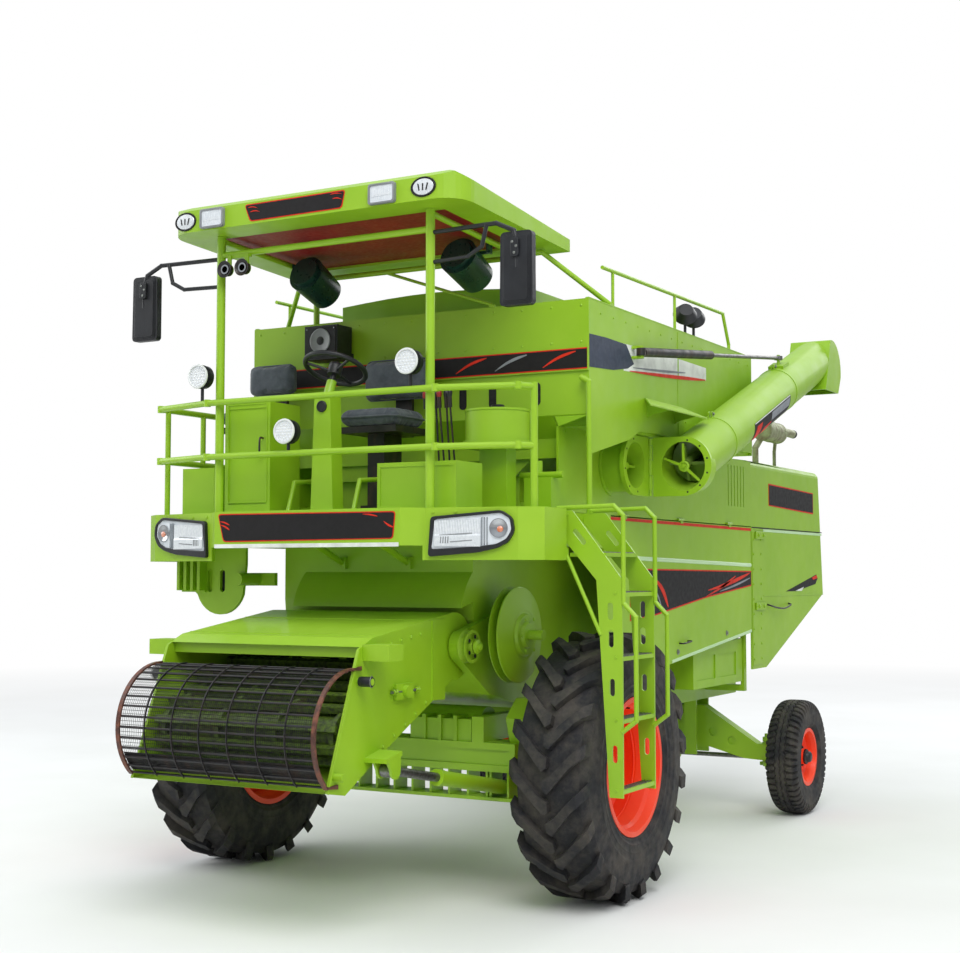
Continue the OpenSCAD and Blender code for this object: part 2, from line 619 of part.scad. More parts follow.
module drive_guard() color(GREEN) home() {
    hang = floor_z - floor_t;
    // Slotted guard plate under the right end of the platform
    difference() {
        front_plate(-700, -676, concat([[-1222, hang], [-1222, 1800]],
            arc(-1000, 1830, 190, 200, 340, 12), [[-800, 1950], [-800, hang]]));
        for (x = [-1080, -980]) front_plate(-701, -675,
            concat(arc(x, 1900, 20, 0, 180, 8), arc(x, 1800, 20, 180, 360, 8)));
    }
    block([-1290, -700, 1800], [-1221, -676, hang - bearer_h]);
    bar_y(-760, -560, -820, 1860, 40);
    block([-850, -562, 1820], [-housing_half - seat, -530, 1900]);
    block([-850, -700, 1840], [-800, -560, 1880]);
    // Ribbed belt guard
    for (i = [0 : 3]) block([-1290 + i * 54, -770, 1790], [-1268 + i * 54, -699, hang - bearer_h]);
    block([-1290, -720, 1780], [-1106, -699, 1960]);
}
bearer_h = 70;

// Platform

module platform() color(GREEN) home() {
    under = floor_z - floor_t;
    in = bumper_t + seat;
    translate([0, 0, under]) linear_extrude(floor_t) polygon([
        [-638, bumper_y + in], [638, bumper_y + in], [738, -1100 + in], [1262, -1000 + in], [1361 - seat, -904],
        [1361 - seat, -625], [1240, -625], [1240, -125], [1300, -125], [1300, recess_y], [-1300, recess_y],
        [-1300, -640], [-1361 + seat, -640], [-1361 + seat, -904], [-1262, -1000 + in], [-738, -1100 + in]]);
    for (x = [-1255, -700, -235, 235, 700, 1255])
        block([x - 25, abs(x) > 1200 ? -930 : -1040, under - bearer_h],
            [x + 25, x == 1255 ? -640 : housing_front - 1, under + 1]);
    block([-1100, housing_front - 60, under - bearer_h], [1100, housing_front, under + 1]);
    for (x = [-235, 235]) {
        bar([x, -1000, under - 50], [x, housing_front - 14, 1960], 20);
        block([x - 30, housing_front - 30, 1925], [x + 30, housing_front - seat, 1995]);
    }
    // Walls beside the housing
    both() block([housing_half, housing_front, 2060], [side_x + 10, housing_front + 26, under + 1]);
    both() block([side_x - 20, housing_front, 2060], [side_x + 10, 620, under + 1]);

}
module both_2d() { children(); mirror([1, 0]) children(); }

bumper_y = -1197;
module bumper_outline(d) polygon(concat(
    [[-1, bumper_y], [644, bumper_y], [744, -1100], [1270, -1000], [1385, -910], [1385, -640]],
    [[1385 - d, -640], [1385 - d, -904], [1262, -1000 + d], [738, -1100 + d], [638, bumper_y + d],
     [-1, bumper_y + d]]));

module bumper() color(GREEN) home() difference() {
    union() {
        translate([0, 0, 2050]) linear_extrude(floor_z + 8 - 2050) both_2d() bumper_outline(bumper_t);
        translate([0, 0, 1970]) linear_extrude(floor_z + 8 - 1970) both_2d() intersection() {
            bumper_outline(bumper_t);
            translate([735, -1400]) square([900, 900]);
        }
    }
    // Openings for the headlights
    both() lamp_frame(0) translate([0, 0, -60]) linear_extrude(140) lamp_shape(0);
}
bumper_t = 24;                               // depth of the folded front panel

// The headlight's own plane: out along the bumper's side panel
lamp_turn = atan2(100, 526);
module lamp_frame(in) translate([1007, -1050, 2112]) rotate([90, 0, lamp_turn]) translate([0, 0, -in]) children();
module lamp_shape(grow) polygon([[-205 - grow, -72 - grow], [150, -72 - grow], [205 + grow, -40 - grow],
    [212 + grow, 40 + grow], [190 + grow, 72 + grow], [-190, 76 + grow], [-205 - grow, 60 + grow]]);

module headlights() color(LENS) home() both() lamp_frame(0) {
    translate([0, 0, -50]) linear_extrude(60) lamp_shape(-seat);
    translate([0, 0, -52]) linear_extrude(10) lamp_shape(-30);
}

module guard_rails() color(GREEN) home() {
    top = 2920;
    low = 2594;
    stem_r = rail_r - 2;
    rail_y = post_y - post_r - rail_r - seat;
    bends = [[-1280, -950], [-post_x - 60, rail_y], [post_x + 60, rail_y], [1250, -960]];
    for (z = [low, top]) {
        line = concat([[-1280, -108]], bends, [[1303, -872]]);
        for (i = [0 : 4]) bar([line[i][0], line[i][1], z], [line[i + 1][0], line[i + 1][1], z], rail_r);
        for (p = bends) translate([p[0], p[1], z - rail_r - 2]) cylinder(h = 2 * rail_r + 4, r = rail_r + 2);
    }
    bar([1303, -872, floor_z], [1303, -872, top + 22], rail_r + 2);
    for (y = [-140, -540, -880]) bar([-1280, y, floor_z], [-1280, y, top + 12], stem_r);
    // Grab handle at the tank's corner
    run([[1225, tank_front - seat, 3060], [1225, -100, 3060], [1272, -100, 3035], [1272, -100, floor_z]], stem_r);
    // Rails on top of the tank
    both() {
        run([[rim_x, 175, 3770], [rim_x, 2290, 3800], [rim_x, 2410, tank_top + 40], [rim_x, 2410, tank_top]], 12);
        bar([rim_x, 330, tank_top], [rim_x, 330, 3772], 10);
        bar([rim_x, 1350, tank_top], [rim_x, 1350, 3785], 10);
    }
}
rim_x = tank_half - tank_wall / 2;           // middle of the tank's top edge

module ladder() color(GREEN) home() {
    side = [[1240 + seat, floor_z - 2], [1400, floor_z - 2], [ladder_x, 1865], [ladder_x, 680], [ladder_x - 80, 680],
        [ladder_x - 154, 1860], [1240 + seat, floor_z - 40]];
    for (y = [ladder_y, ladder_y + tread_len + 14]) difference() {
        front_plate(y, y + 14, side);
        // Columns: height of a slot, distance of its middle from the outer face
        for (s = [[1690, 70], [1540, 68], [1275, 62], [915, 48]]) front_plate(y - 1, y + 15,
            concat(arc(ladder_x - s[1], s[0] + 32, 16, 0, 180, 8), arc(ladder_x - s[1], s[0] - 32, 16, 180, 360, 8)));
        front_plate(y - 1, y + 15, concat(arc(1420, 2130, 15, 30, 210, 8), arc(1470, 2070, 15, 210, 390, 8)));
    }
    // Treads, from the lowest: height, depth, distance of the outer edge from the ladder's face
    for (t = [[700, 76, 2], [1080, 95, 2], [1420, 110, 2], [1770, 130, 2], [1990, 220, 100]])
        block([ladder_x - t[2] - t[1], ladder_y + 13, t[0]], [ladder_x - t[2], ladder_y + tread_len + 15, t[0] + 22]);
    block([1240 + seat, ladder_y + 13, floor_z - 60], [1262, ladder_y + tread_len + 15, floor_z - 4]);
    // Stay from the bumper's end to the front side
    bar([1373, -622, 2005], [ladder_x - 130, ladder_y + 4, 1560], 11);
    block([1362, -640 + seat, 1980], [1384, -612, 2040]);
    // Handrails
    for (y = [ladder_y + 7, ladder_y + tread_len + 21]) {
        run([[1310, y, floor_z - 3], [1310, y, floor_z + 12], [ladder_x - 50, y, 2270], [ladder_x + 6, y, 2215],
            [ladder_x + 6, y, 1730]], hand_r);
        run([[ladder_x + 6, y, 1735], [ladder_x + hand_out, y, 1660], [ladder_x + hand_out, y, 1100],
            [ladder_x - 6, y, 1035]], hand_r);
    }
}

// Canopy

canopy_slope = 4.6;
canopy_drop = 2.4;

// The canopy's plan, moved inwards
module canopy_plan(in) both_2d() polygon(concat(
    [[-1, canopy_front + in]], arc(canopy_half - 170, canopy_front + 170, max(170 - in, 6), -90, 0, 8),
    [[canopy_half - min(in, 164), canopy_rear - in], [-1, canopy_rear - in]]));
// The space between the underside lifted by a and the top sheet lowered by b
module canopy_body(in, a, b) difference() {
    translate([0, 0, 3700]) linear_extrude(600) canopy_plan(in);
    translate([-1500, canopy_front, canopy_z + a]) rotate([-canopy_drop, 0, 0]) translate([0, -200, -500])
        cube([3000, 2000, 500]);
    translate([-1500, canopy_front, canopy_z + canopy_board + 52 - b]) rotate([-canopy_slope, 0, 0])
        translate([0, -200, 0]) cube([3000, 2000, 500]);
    // Sloping front and side edges of the top
    translate([-1500, canopy_front, canopy_z + canopy_board - b]) rotate([25, 0, 0]) cube([3000, 900, 500]);
    both() translate([canopy_half, canopy_front, canopy_z + canopy_board - b])
        rotate([-canopy_slope, 0, 0]) rotate([0, 25, 0]) translate([-900, -200, 0]) cube([900, 2200, 500]);
}

module canopy_roof() color(GREEN) home() difference() {
    canopy_body(0, 0, 0);
    canopy_body(20, 16, 20);
    translate([0, 0, 3700]) linear_extrude(300) polygon([
        [-liner_half, canopy_front + canopy_rim], [liner_half, canopy_front + canopy_rim],
        [liner_half, canopy_rear - canopy_rim], [-liner_half, canopy_rear - canopy_rim]]);
}
canopy_rim = 215;                            // width of the edge round the canopy's underside
liner_half = canopy_half - canopy_rim;

module canopy_liner() color(LINER) home() intersection() {
    canopy_body(20 + seat, 16 + seat, 20 + seat);
    translate([-1500, canopy_front, canopy_z + 16 + seat]) rotate([-canopy_drop, 0, 0])
        translate([0, -20, 0]) cube([3000, 2000, 14]);
}

module canopy_frame() color(GREEN) home() {
    rear_y = tank_front + 4;
    both() {
        bar([post_x, post_y, floor_z], [post_x, post_y, canopy_under(post_y + post_r)], post_r);
        // Rear posts on the tank's front edge
        bar([post_x, rear_y, tank_top], [post_x, rear_y, canopy_under(rear_y + 20)], 20);
        bar([post_x, rear_y, canopy_under(rear_y) - 22], [post_x, post_y, canopy_under(post_y) - 22], 18);
        bar([post_x, rear_y, canopy_under(rear_y) - 22], [post_x + 165, rear_y + 60, canopy_under(rear_y + 60) - 22], 16);
        bar([post_x + 165, rear_y + 60, canopy_under(rear_y + 60) - 22], [rim_x, 290, tank_top + 12], 16);
        translate([post_x + 165, rear_y + 60, canopy_under(rear_y + 60) - 22]) sphere(r = 16.5);
        block([rim_x - 10, 268, tank_top], [rim_x + 10, 312, tank_top + 20]);
    }
    bar_x(-post_x, post_x, post_y, 3820, 19);
    bar_x(-post_x, post_x, rear_y, 3840, 17);
    bar([-200, rear_y, 3838], [590, rear_y, tank_top + 14], 10);
    block([570, rear_y - 10, tank_top], [610, rear_y + 10, tank_top + 14]);
    // Horns on their plate
    for (x = [-660, -530]) {
        bar_y(post_y - 60, post_y - 26, x, 3718, 36);
        block([x - 14, post_y - 27, 3710], [x + 14, post_y - 18, 3810]);
    }
    block([-680, post_y - 19, 3790], [-510, post_y, 3812]);
    // Square lamp boxes' brackets and drum hangers
    both() block([drum_x - 60, post_y + 10, 3812], [drum_x + 60, post_y + 30, 3828]);
}
// Height of the canopy's underside
function canopy_under(y) = canopy_z - tan(canopy_drop) * (y - canopy_front);
drum_x = 560;

module canopy_drums() color(DARK_GREEN) home() both() {
    translate([drum_x, -420, 3802]) rotate([-112, 0, 0]) {
        cylinder(h = 250, r1 = 122, r2 = 108);
        translate([0, 0, -30]) cylinder(h = 31, r = 96);
    }
    // Hanger on the side rail
    block([drum_x + 80, -330, 3820], [post_x - 10, -300, 3836]);
    block([post_x - 30, -345, 3820], [post_x - 18 - seat, -285, canopy_under(-280) - 12]);
}

module mirrors() color(BLACK) home() both() {
    y = post_y - 30;
    run([[post_x + post_r + seat, post_y, 3800], [1180, y - 8, 3797], [1290, y - 10, 3745],
        [1312, y - 12, 3680], [1312, y - 12, 3540]], 13);
    run([[post_x + post_r + seat, post_y, 3632], [1000, y - 4, 3632], [1090, y - 6, 3680], [1120, y - 7, 3797]], 12);
    translate([1305, y + 26, 3540]) rotate([90, 0, 0]) linear_extrude(40)
        polygon(concat(arc(72, 175, 24, 0, 90, 3), arc(-72, 175, 24, 90, 180, 3), arc(-76, -180, 24, 180, 270, 3),
            arc(76, -180, 24, 270, 360, 3)));
}

module work_lamps() color(BLACK) home() {
    front = post_y - post_r - rail_r - seat;
    // Columns: X, Z of a round lamp, top of the rail that carries it, Y of the rail there
    for (p = [[-850, 3083, 2920, front + 13], [-195, 2720, 2594, front], [640, 3074, 2920, front]]) {
        bar_y(p[3] - 40, p[3] + 24, p[0], p[1], 70);
        bar([p[0], p[3], p[2] + rail_r + seat], [p[0], p[3], p[1] - 40], 10);
    }
    // Square lamps in the canopy's front board
    for (x = [-663, 537]) block([x - 62, canopy_front - 14, canopy_z + 14],
        [x + 62, canopy_front - seat, canopy_z + 116]);
    // Round lamps on the tank's left edge
    for (y = [1540, 1700]) {
        translate([rim_x, y, 3680]) rotate([62, 0, 30]) cylinder(h = 60, r1 = 84, r2 = 50);
        bar([rim_x, y, tank_top], [rim_x, y, 3690], 10);
    }
}

// Operator's station

column_y = -905;
wheel_at = [-85, -770, 3120];
wheel_tilt = 24;

module console() color(GREEN) home() {
    // Steering pedestal with the column's bearing
    front_plate(column_y, column_y + 110, [[-165, floor_z], [-5, floor_z], [-30, 2960], [-140, 2960]]);
    translate(wheel_at) rotate([-wheel_tilt, 0, 0]) translate([0, 0, -wheel_drop - 50]) difference() {
        cylinder(h = 110, r = 30);
        translate([0, 0, 50 - seat]) cylinder(h = 80, r = 18 + run_gap);
    }
    // Cabinets at the right and left of the driver
    difference() {
        block([-770, -950, floor_z], [-430, -650, 2925]);
        block([-740, -951, floor_z + 60], [-460, -944, 2890]);
    }
    block([-1140, -900, floor_z], [-890, -700, 2545]);
    difference() {
        block([340, -960, floor_z], [860, -660, 2525]);
        block([360, -961, floor_z + 30], [840, -955, 2500]);
    }
    // Round oil tank on its stand
    translate([830, -420, 2640]) cylinder(h = 215, r = 190);
    translate([830, -420, 2630]) cylinder(h = 40, r = 205);
    block([740, -480, floor_z], [920, -360, 2641]);
    // Valve bank with its rods
    block([940, -300, floor_z], [1120, -180, 2460]);
    bar_x(900, 1180, -260, 2474, 20);
    bar([1010, -250, 2450], [1010, -250, 2560], 26);
    // Tubular braces beside the pedestal
    for (x = [-330, 140]) run([[x, -900, floor_z], [x, -900, floor_z + 20], [x, -840, 2440], [x, -600, 2460],
        [x, -560, floor_z + 20], [x, -560, floor_z]], 14);
}

module steering_wheel() color(BLACK) home() translate(wheel_at) rotate([-wheel_tilt, 0, 0]) {
    rotate_extrude() translate([185, 0]) circle(r = 15);
    translate([0, 0, -46]) cylinder(h = 60, r = 42);
    translate([0, 0, -wheel_drop]) cylinder(h = wheel_drop - 40, r = 18);
    for (t = [90, 210, 330]) rotate([0, 0, t]) bar([30, 0, -20], [184, 0, 0], 9);
}
wheel_drop = 150;

module seat_frames() color(BLACK) home() {
    // Columns: X of the seat's middle, half width, height of the cushion's underside
    for (s = SEATS) {
        block([s[0] - s[1] + 20, -560, s[2] - 40], [s[0] + s[1] - 20, -180, s[2] - seat]);
        block([s[0] - 90, -500, floor_z], [s[0] + 90, -240, floor_z + 60]);
        block([s[0] - 60, -470, floor_z + 59], [s[0] + 60, -270, s[2] - 39]);
        block([s[0] - 60, -150, s[2] - 40], [s[0] + 60, -126, s[2] + 330]);
        block([s[0] - 60, -181, s[2] - 40], [s[0] + 60, -140, s[2] - 10]);
    }
    // Lever rack beside the driver
    for (i = [0 : 5]) {
        x = 420 + i * 36;
        bar([x, -520, floor_z + 260], [x, -560 - (i % 2) * 20, 2880], 6);
        bar([x, -560 - (i % 2) * 20, 2870], [x, -566 - (i % 2) * 20, 2940], 13);
    }
    block([400, -560, floor_z + 240], [620, -480, floor_z + 280]);
    block([480, -540, floor_z], [540, -500, floor_z + 241]);
}
SEATS = [[10, 220, 2790, 380], [-960, 170, 2830, 300]];

module cushion(x0, x1, y0, y1, z0, z1) {
    r = 40;
    translate([0, 0, z0]) linear_extrude(z1 - z0) polygon(concat(
        arc(x1 - r, y1 - r, r, 0, 90, 4), arc(x0 + r, y1 - r, r, 90, 180, 4),
        arc(x0 + r, y0 + r, r, 180, 270, 4), arc(x1 - r, y0 + r, r, 270, 360, 4)));
}
module seat_cushions() color(BLACK) home() for (s = SEATS) {
    cushion(s[0] - s[1], s[0] + s[1], -600, -200, s[2], s[2] + 110);
    translate([0, -150 - seat, 0]) rotate([90, 0, 0])
        cushion(s[0] - s[1], s[0] + s[1], s[2] + 125, s[2] + 125 + s[3] * 0.75, 0, 100);
}

module speaker_box() color(BLACK) home() {
    block([-695, tank_front - 190, 3275], [-440, tank_front - 24, 3495]);
    block([-695, tank_front - 25, 3285], [-440, tank_front - seat, 3325]);
}

// Grain tank

module tank_ends() color(GREEN) home() {
    // Front wall: band, lower wall, slope and inner wall
    side_plate(-tank_half, tank_half, [
        [tank_front, tank_top], [tank_front, 3253], [tank_front - 14, 3253], [tank_front - 14, 3110],
        [tank_front, 3110], [tank_front, tank_bottom], [tank_front + 4, tank_bottom - 6],
        [tank_front + 24, tank_bottom - 6], [tank_front + tank_wall, tank_bottom], [tank_front + tank_wall, tank_top]]);
    side_plate(-side_x + sheet + seat, side_x - sheet - seat, [
        [tank_front + 2, tank_bottom - 2], [60, 2720], [60, 2600], [84, 2600], [84, 2730], [tank_front + tank_wall, 2852]]);
    // Rear wall with its ribs
    block([-tank_half, tank_rear - tank_wall, panel_top + seat], [tank_half, tank_rear, tank_top]);
    for (x = [-700, 0, 700]) block([x - 25, tank_rear - 1, 2900], [x + 25, tank_rear + 20, tank_top - 40]);
    // Cross beams under the lid, with its hinge pins
    wide = tank_half - tank_wall - seat;
    for (y = [lid_y[0] - 10, lid_y[1] - 10]) block([-wide, y, tank_top - 40], [wide, y + 40, tank_top + 4 - seat]);
    for (x = [-500, 500]) {
        for (s = [x - 74, x + 60 + seat]) {
            block([s, lid_y[1] + 2, tank_top], [s + 14 - seat, lid_y[1] + 18, tank_top + 18]);
            bar_x(s, s + 14 - seat, lid_y[1] + 10, tank_top + 18, 8);
        }
        bar_x(x - 74, x + 74, lid_y[1] + 10, tank_top + 18, 5);
    }
}

module tank_sides() color(GREEN) home() {
    y0 = tank_front + tank_wall + seat;
    y1 = tank_rear - tank_wall - seat;
    both() side_plate(tank_half - tank_wall, tank_half, [
        [y0, tank_top], [y1, tank_top], [y1, 2810], [1000, 2810], [700, 2800], [560, 2740], [y0, 2610]]);
    tank_brackets();
}
// On the left side only: shelf over the unloader's joint and the swing cylinder's bracket
module tank_brackets() {
    translate([tank_half - 2, 0, 3020]) rotate([0, 23, 0]) linear_extrude(8)
        polygon([[0, 800], [0, 1400], [255, 1330], [255, 330]]);
    for (y = [830, 1300]) front_plate(y, y + 6, [[tank_half - 2, 3018], [tank_half - 2, 2900], [1290, 2920], [1420, 2946]]);
    at_swing_pin() {
        for (z = [-40, 24 + seat]) translate([0, 0, z]) {
            cylinder(h = 16 - seat, r = 18);
            block([tank_half - 2 - swing_pin[0], -18, 0], [0, 18, 16 - seat]);
        }
        translate([0, 0, -40]) cylinder(h = 80, r = 14);
    }
}

module tank_floor() color(GREEN) home() {
    y0 = 84 + seat;
    y1 = tank_rear - tank_wall - seat;
    wide = tank_half - tank_wall - seat;
    edge = side_x - sheet - seat;
    front_plate(y0, y1, [
        [-wide, tank_bottom + 20], [-wide, panel_top + seat], [-edge, panel_top + seat], [-housing_half, grain_z + seat],
        [housing_half, grain_z + seat], [edge, panel_top + seat], [wide, panel_top + seat],
        [wide, tank_bottom + 20], [220, 2560], [-220, 2560]]);
    // Cross auger in the trough
    bar_y(y0, y1, 0, 2640, 24);
    for (i = [0 : 17]) bar_y(180 + i * 148, 186 + i * 148, 0, 2640, 86);
}

lid_y = [230, 1300];
module tank_lid() color(GREEN) home() {
    half = 720;
    difference() {
        front_plate(lid_y[0], lid_y[1], concat([[-half, tank_top + 4]],
            [for (i = [0 : 8]) [-half + i * half / 4, tank_top + 150 + 40 * sin(i * 22.5)]], [[half, tank_top + 4]]));
        front_plate(lid_y[0] + sheet, lid_y[1] - sheet, concat([[-half + sheet, tank_top + 3]],
            [for (i = [0 : 8]) [(-half + i * half / 4) * 0.98, tank_top + 136 + 40 * sin(i * 22.5)]],
            [[half - sheet, tank_top + 3]]));
    }
    for (x = [-500, 500]) difference() {
        union() {
            bar_x(x - 60, x + 60, lid_y[1] + 10, tank_top + 18, 12);
            block([x - 60, lid_y[1] - 4, tank_top + 14], [x + 60, lid_y[1] + 10, tank_top + 22]);
        }
        bar_x(x - 61, x + 61, lid_y[1] + 10, tank_top + 18, 5 + run_gap);
    }
}

// Unloader

mouth_x = hinge_x + mouth_off;
stub_y = hinge_y - mouth_off;
flange = 194;

// A flange with a round outer end and a straight edge at the hinge, in its own XY plane
module flange_shape(r) difference() {
    union() {
        circle(r = flange);
        translate([-mouth_off + 20, -flange]) square([mouth_off - 20, 2 * flange]);
    }
    circle(r = r);
}

module unloader_stub() color(GREEN) home() {
    translate([side_x + seat, stub_y, mouth_z]) rotate([90, 0, 90]) {
        linear_extrude(12) circle(r = mouth_r + 46);
        linear_extrude(hinge_x - side_x - 3 - seat) difference() { circle(r = mouth_r + 24); circle(r = mouth_r); }
        translate([0, 0, hinge_x - side_x - 31 - seat]) linear_extrude(28) mirror([1, 0]) flange_shape(mouth_r);
        linear_extrude(60) circle(r = 40);
        linear_extrude(hinge_x - side_x - 60) circle(r = 22);
        for (t = [0, 90]) translate([0, 0, 90]) rotate(t) linear_extrude(16) square([2 * mouth_r + 8, 16], center = true);
    }
    // Hinge knuckles and pin
    for (z = [-150, 50]) {
        translate([hinge_x, hinge_y, mouth_z + z]) cylinder(h = 90, r = 16);
        block([hinge_x - 26, hinge_y - 26, mouth_z + z], [hinge_x - 4, hinge_y - 4, mouth_z + z + 90]);
    }
    translate([hinge_x, hinge_y, mouth_z - 190]) cylinder(h = 380, r = hinge_pin_r);
}
hinge_pin_r = 9;

tube_dir = [0, cos(tube_rise), sin(tube_rise)];
function along(d) = [mouth_x, hinge_y + 2, mouth_z] + d * tube_dir;

module unloader_tube() color(GREEN) home() {
    spout = along(tube_len);
    difference() {
        union() {
            translate([mouth_x, hinge_y + 31, mouth_z]) rotate([90, 0, 0]) linear_extrude(28) flange_shape(mouth_r);
            translate([mouth_x, hinge_y + 26, mouth_z]) rotate([-90, 0, 0]) cylinder(h = 120, r = mouth_r + 24);
            bar(along(90), along(tube_len), tube_r);
            // Spout
            translate([mouth_x, 0, 0]) side_plate(-tube_r, tube_r, concat(
                [[spout[1] - 200, spout[2] - 260], [spout[1] - 60, spout[2] + 150]],
                arc(spout[1] - 10, spout[2] - 80, 240, 100, -10, 10), [[spout[1] + 150, spout[2] - 260]]));
            // Saddle and pin of the swing rod
            translate(along(saddle)) rotate([tube_rise, 0, 0]) block([-60, -70, tube_r - 20], [60, 70, tube_r + 14]);
            translate(along(saddle) + [0, -tube_r * sin(tube_rise), tube_r]) cylinder(h = 76, r = 12);
        }
        bar(along(-60), along(tube_len - 40), mouth_r + 2);
        // Inside of the spout
        translate([mouth_x, 0, 0]) side_plate(-tube_r + 12, tube_r - 12, concat(
            [[spout[1] - 180, spout[2] - 261], [spout[1] - 150, spout[2] - 120]],
            arc(spout[1] - 10, spout[2] - 80, 220, 60, -10, 6), [[spout[1] + 132, spout[2] - 261]]));
    }
    // Bearing of the screw in the spout
    difference() {
        union() {
            bar(along(tube_len - 135), along(tube_len - 70), 42);
            bar_x(mouth_x - tube_r + 4, mouth_x + tube_r - 4, along(tube_len - 95)[1], along(tube_len - 95)[2], 16);
        }
        bar(along(tube_len - 200), along(tube_len - 120) + seat * tube_dir, 28 + run_gap);
    }
    // Hinge knuckles on the elbow
    for (z = [-54, 146]) difference() {
        union() {
            translate([hinge_x, hinge_y, mouth_z + z]) cylinder(h = z > 0 ? 40 : 98, r = 16);
            block([hinge_x + 4, hinge_y + 4, mouth_z + z], [hinge_x + 26, hinge_y + 26, mouth_z + z + (z > 0 ? 40 : 98)]);
        }
        translate([hinge_x, hinge_y, mouth_z + z - 1]) cylinder(h = 120, r = hinge_pin_r + run_gap);
    }
}
saddle = 2170;

module unloader_screw() color(STEEL) home() {
    r_out = mouth_r - 12;
    bar(along(70), along(tube_len - 120), 28);
    translate(along(60)) rotate([-90 + tube_rise, 0, 0]) {
        for (t = [0, 90]) rotate([0, 0, t]) block([-r_out + 20, -8, 0], [r_out - 20, 8, 20]);
        translate([0, 0, -20]) cylinder(h = 60, r = 34);
        // First turn of the flight
        linear_extrude(height = 260, twist = -400, slices = 24) polygon(concat(
            arc(0, 0, r_out, -5, 5, 2), arc(0, 0, 20, 5, -5, 1)));
    }
    // The rest of the flight, as rings at its pitch
    for (d = [460 : 200 : tube_len - 200]) bar(along(d), along(d + 8), r_out);
}

swing_pin = [tank_half + 60, 600, 3295];
swing_eye = along(saddle) + [0, -tube_r * sin(tube_rise), tube_r + 52];
// The pin leans so that the cylinder keeps pointing at its eye as it swings
module at_swing_pin() translate(swing_pin) rotate([-1.5, -0.25, 0]) children();
module swing_barrel() color(BLACK) home() {
    v = swing_eye - swing_pin;
    u = v / norm(v);
    difference() {
        union() {
            bar(swing_pin + 24 * u, swing_pin + 1100 * u, 30);
            at_swing_pin() translate([0, 0, -24]) cylinder(h = 48, r = 30);
        }
        at_swing_pin() translate([0, 0, -40]) cylinder(h = 80, r = 14 + run_gap);
        bar(swing_pin + 120 * u, swing_pin + 1140 * u, 14 + run_gap);
    }
}
module swing_rod() color(STEEL) home() {
    v = swing_eye - swing_pin;
    u = v / norm(v);
    difference() {
        union() {
            bar(swing_pin + 650 * u, swing_eye - 24 * u, 14);
            translate(swing_eye + [0, 0, -14]) cylinder(h = 28, r = 32);
        }
        translate(swing_eye + [0, 0, -40]) cylinder(h = 80, r = 22);
    }
}

// Feeder house

feeder_pivot = [feeder_y, feeder_z];
mouth_top = [-1640, 1400];
mouth_low = [-1880, 790];

module feeder_outline(x0, x1) side_plate(x0, x1, concat(
    [[-1470, 1555], [feeder_y - 20, 1672]], arc(feeder_y, feeder_z, feeder_end_r, 96, -100, 14),
    [[-850, 1180], [-1400, 925], [-1715, 762], mouth_low, mouth_top, [-1600, 1500]]));

module feeder_house() color(GREEN) home() {
    wall = 12;
    difference() {
        feeder_outline(-feeder_half, feeder_half);
        // Hollow from the mouth to the throat
        side_plate(-feeder_half + wall, feeder_half - wall, [
            [-1500, 1530], [-620, 1640], [-300, 1640], [-300, 1320], [-640, 1310], [-860, 1210], [-1400, 950],
            [-1700, 795], [-1960, 790], [-1700, 1480]]);
        both() bar_x(feeder_half - 40, feeder_half + 1, feeder_y, feeder_z, feeder_shaft_r + run_gap);
    }
    // Front beam with its end blocks
    block([-feeder_half + 1, -1545, 1455], [feeder_half - 1, -1440, 1520]);
    both() {
        block([feeder_half - 2, -1560, 1440], [feeder_half + 165, -1420, 1525]);
        // Ears and pin of a lift cylinder
        for (x = [lift_x - 50, lift_x + 36]) side_plate(x, x + 14, concat(
            arc(lift_eye[0], lift_eye[1], 46, 180, 360, 8), [[lift_eye[0] + 46, 952], [lift_eye[0] - 80, 925]]));
        side_plate(feeder_half - 2, lift_x + 50, [
            [lift_eye[0] - 90, 912], [lift_eye[0] + 60, 940], [lift_eye[0] + 60, 965], [lift_eye[0] - 90, 935]]);
        bar_x(lift_x - 49, lift_x + 49, lift_eye[0], lift_eye[1], lift_pin_r);
        // Hook pins for the header
        bar_x(feeder_half - 2, feeder_half + 60, mouth_low[0] + 70, mouth_low[1] + 75, 22);
        bar_x(feeder_half - 2, feeder_half + 90, mouth_top[0] + 40, mouth_top[1] - 64, 18);
    }
    // Chain adjuster on the left side
    block([feeder_half - 1, -1260, 1215], [feeder_half + 22, -1080, 1300]);
    bar_x(feeder_half - 1, feeder_half + 50, -1170, 1258, 34);
    // Guard plate beside the shaft
    side_plate(feeder_half - 1, feeder_half + 6, [[-860, 1632], [-720, 1640], [-720, 1180], [-860, 1185]]);
}

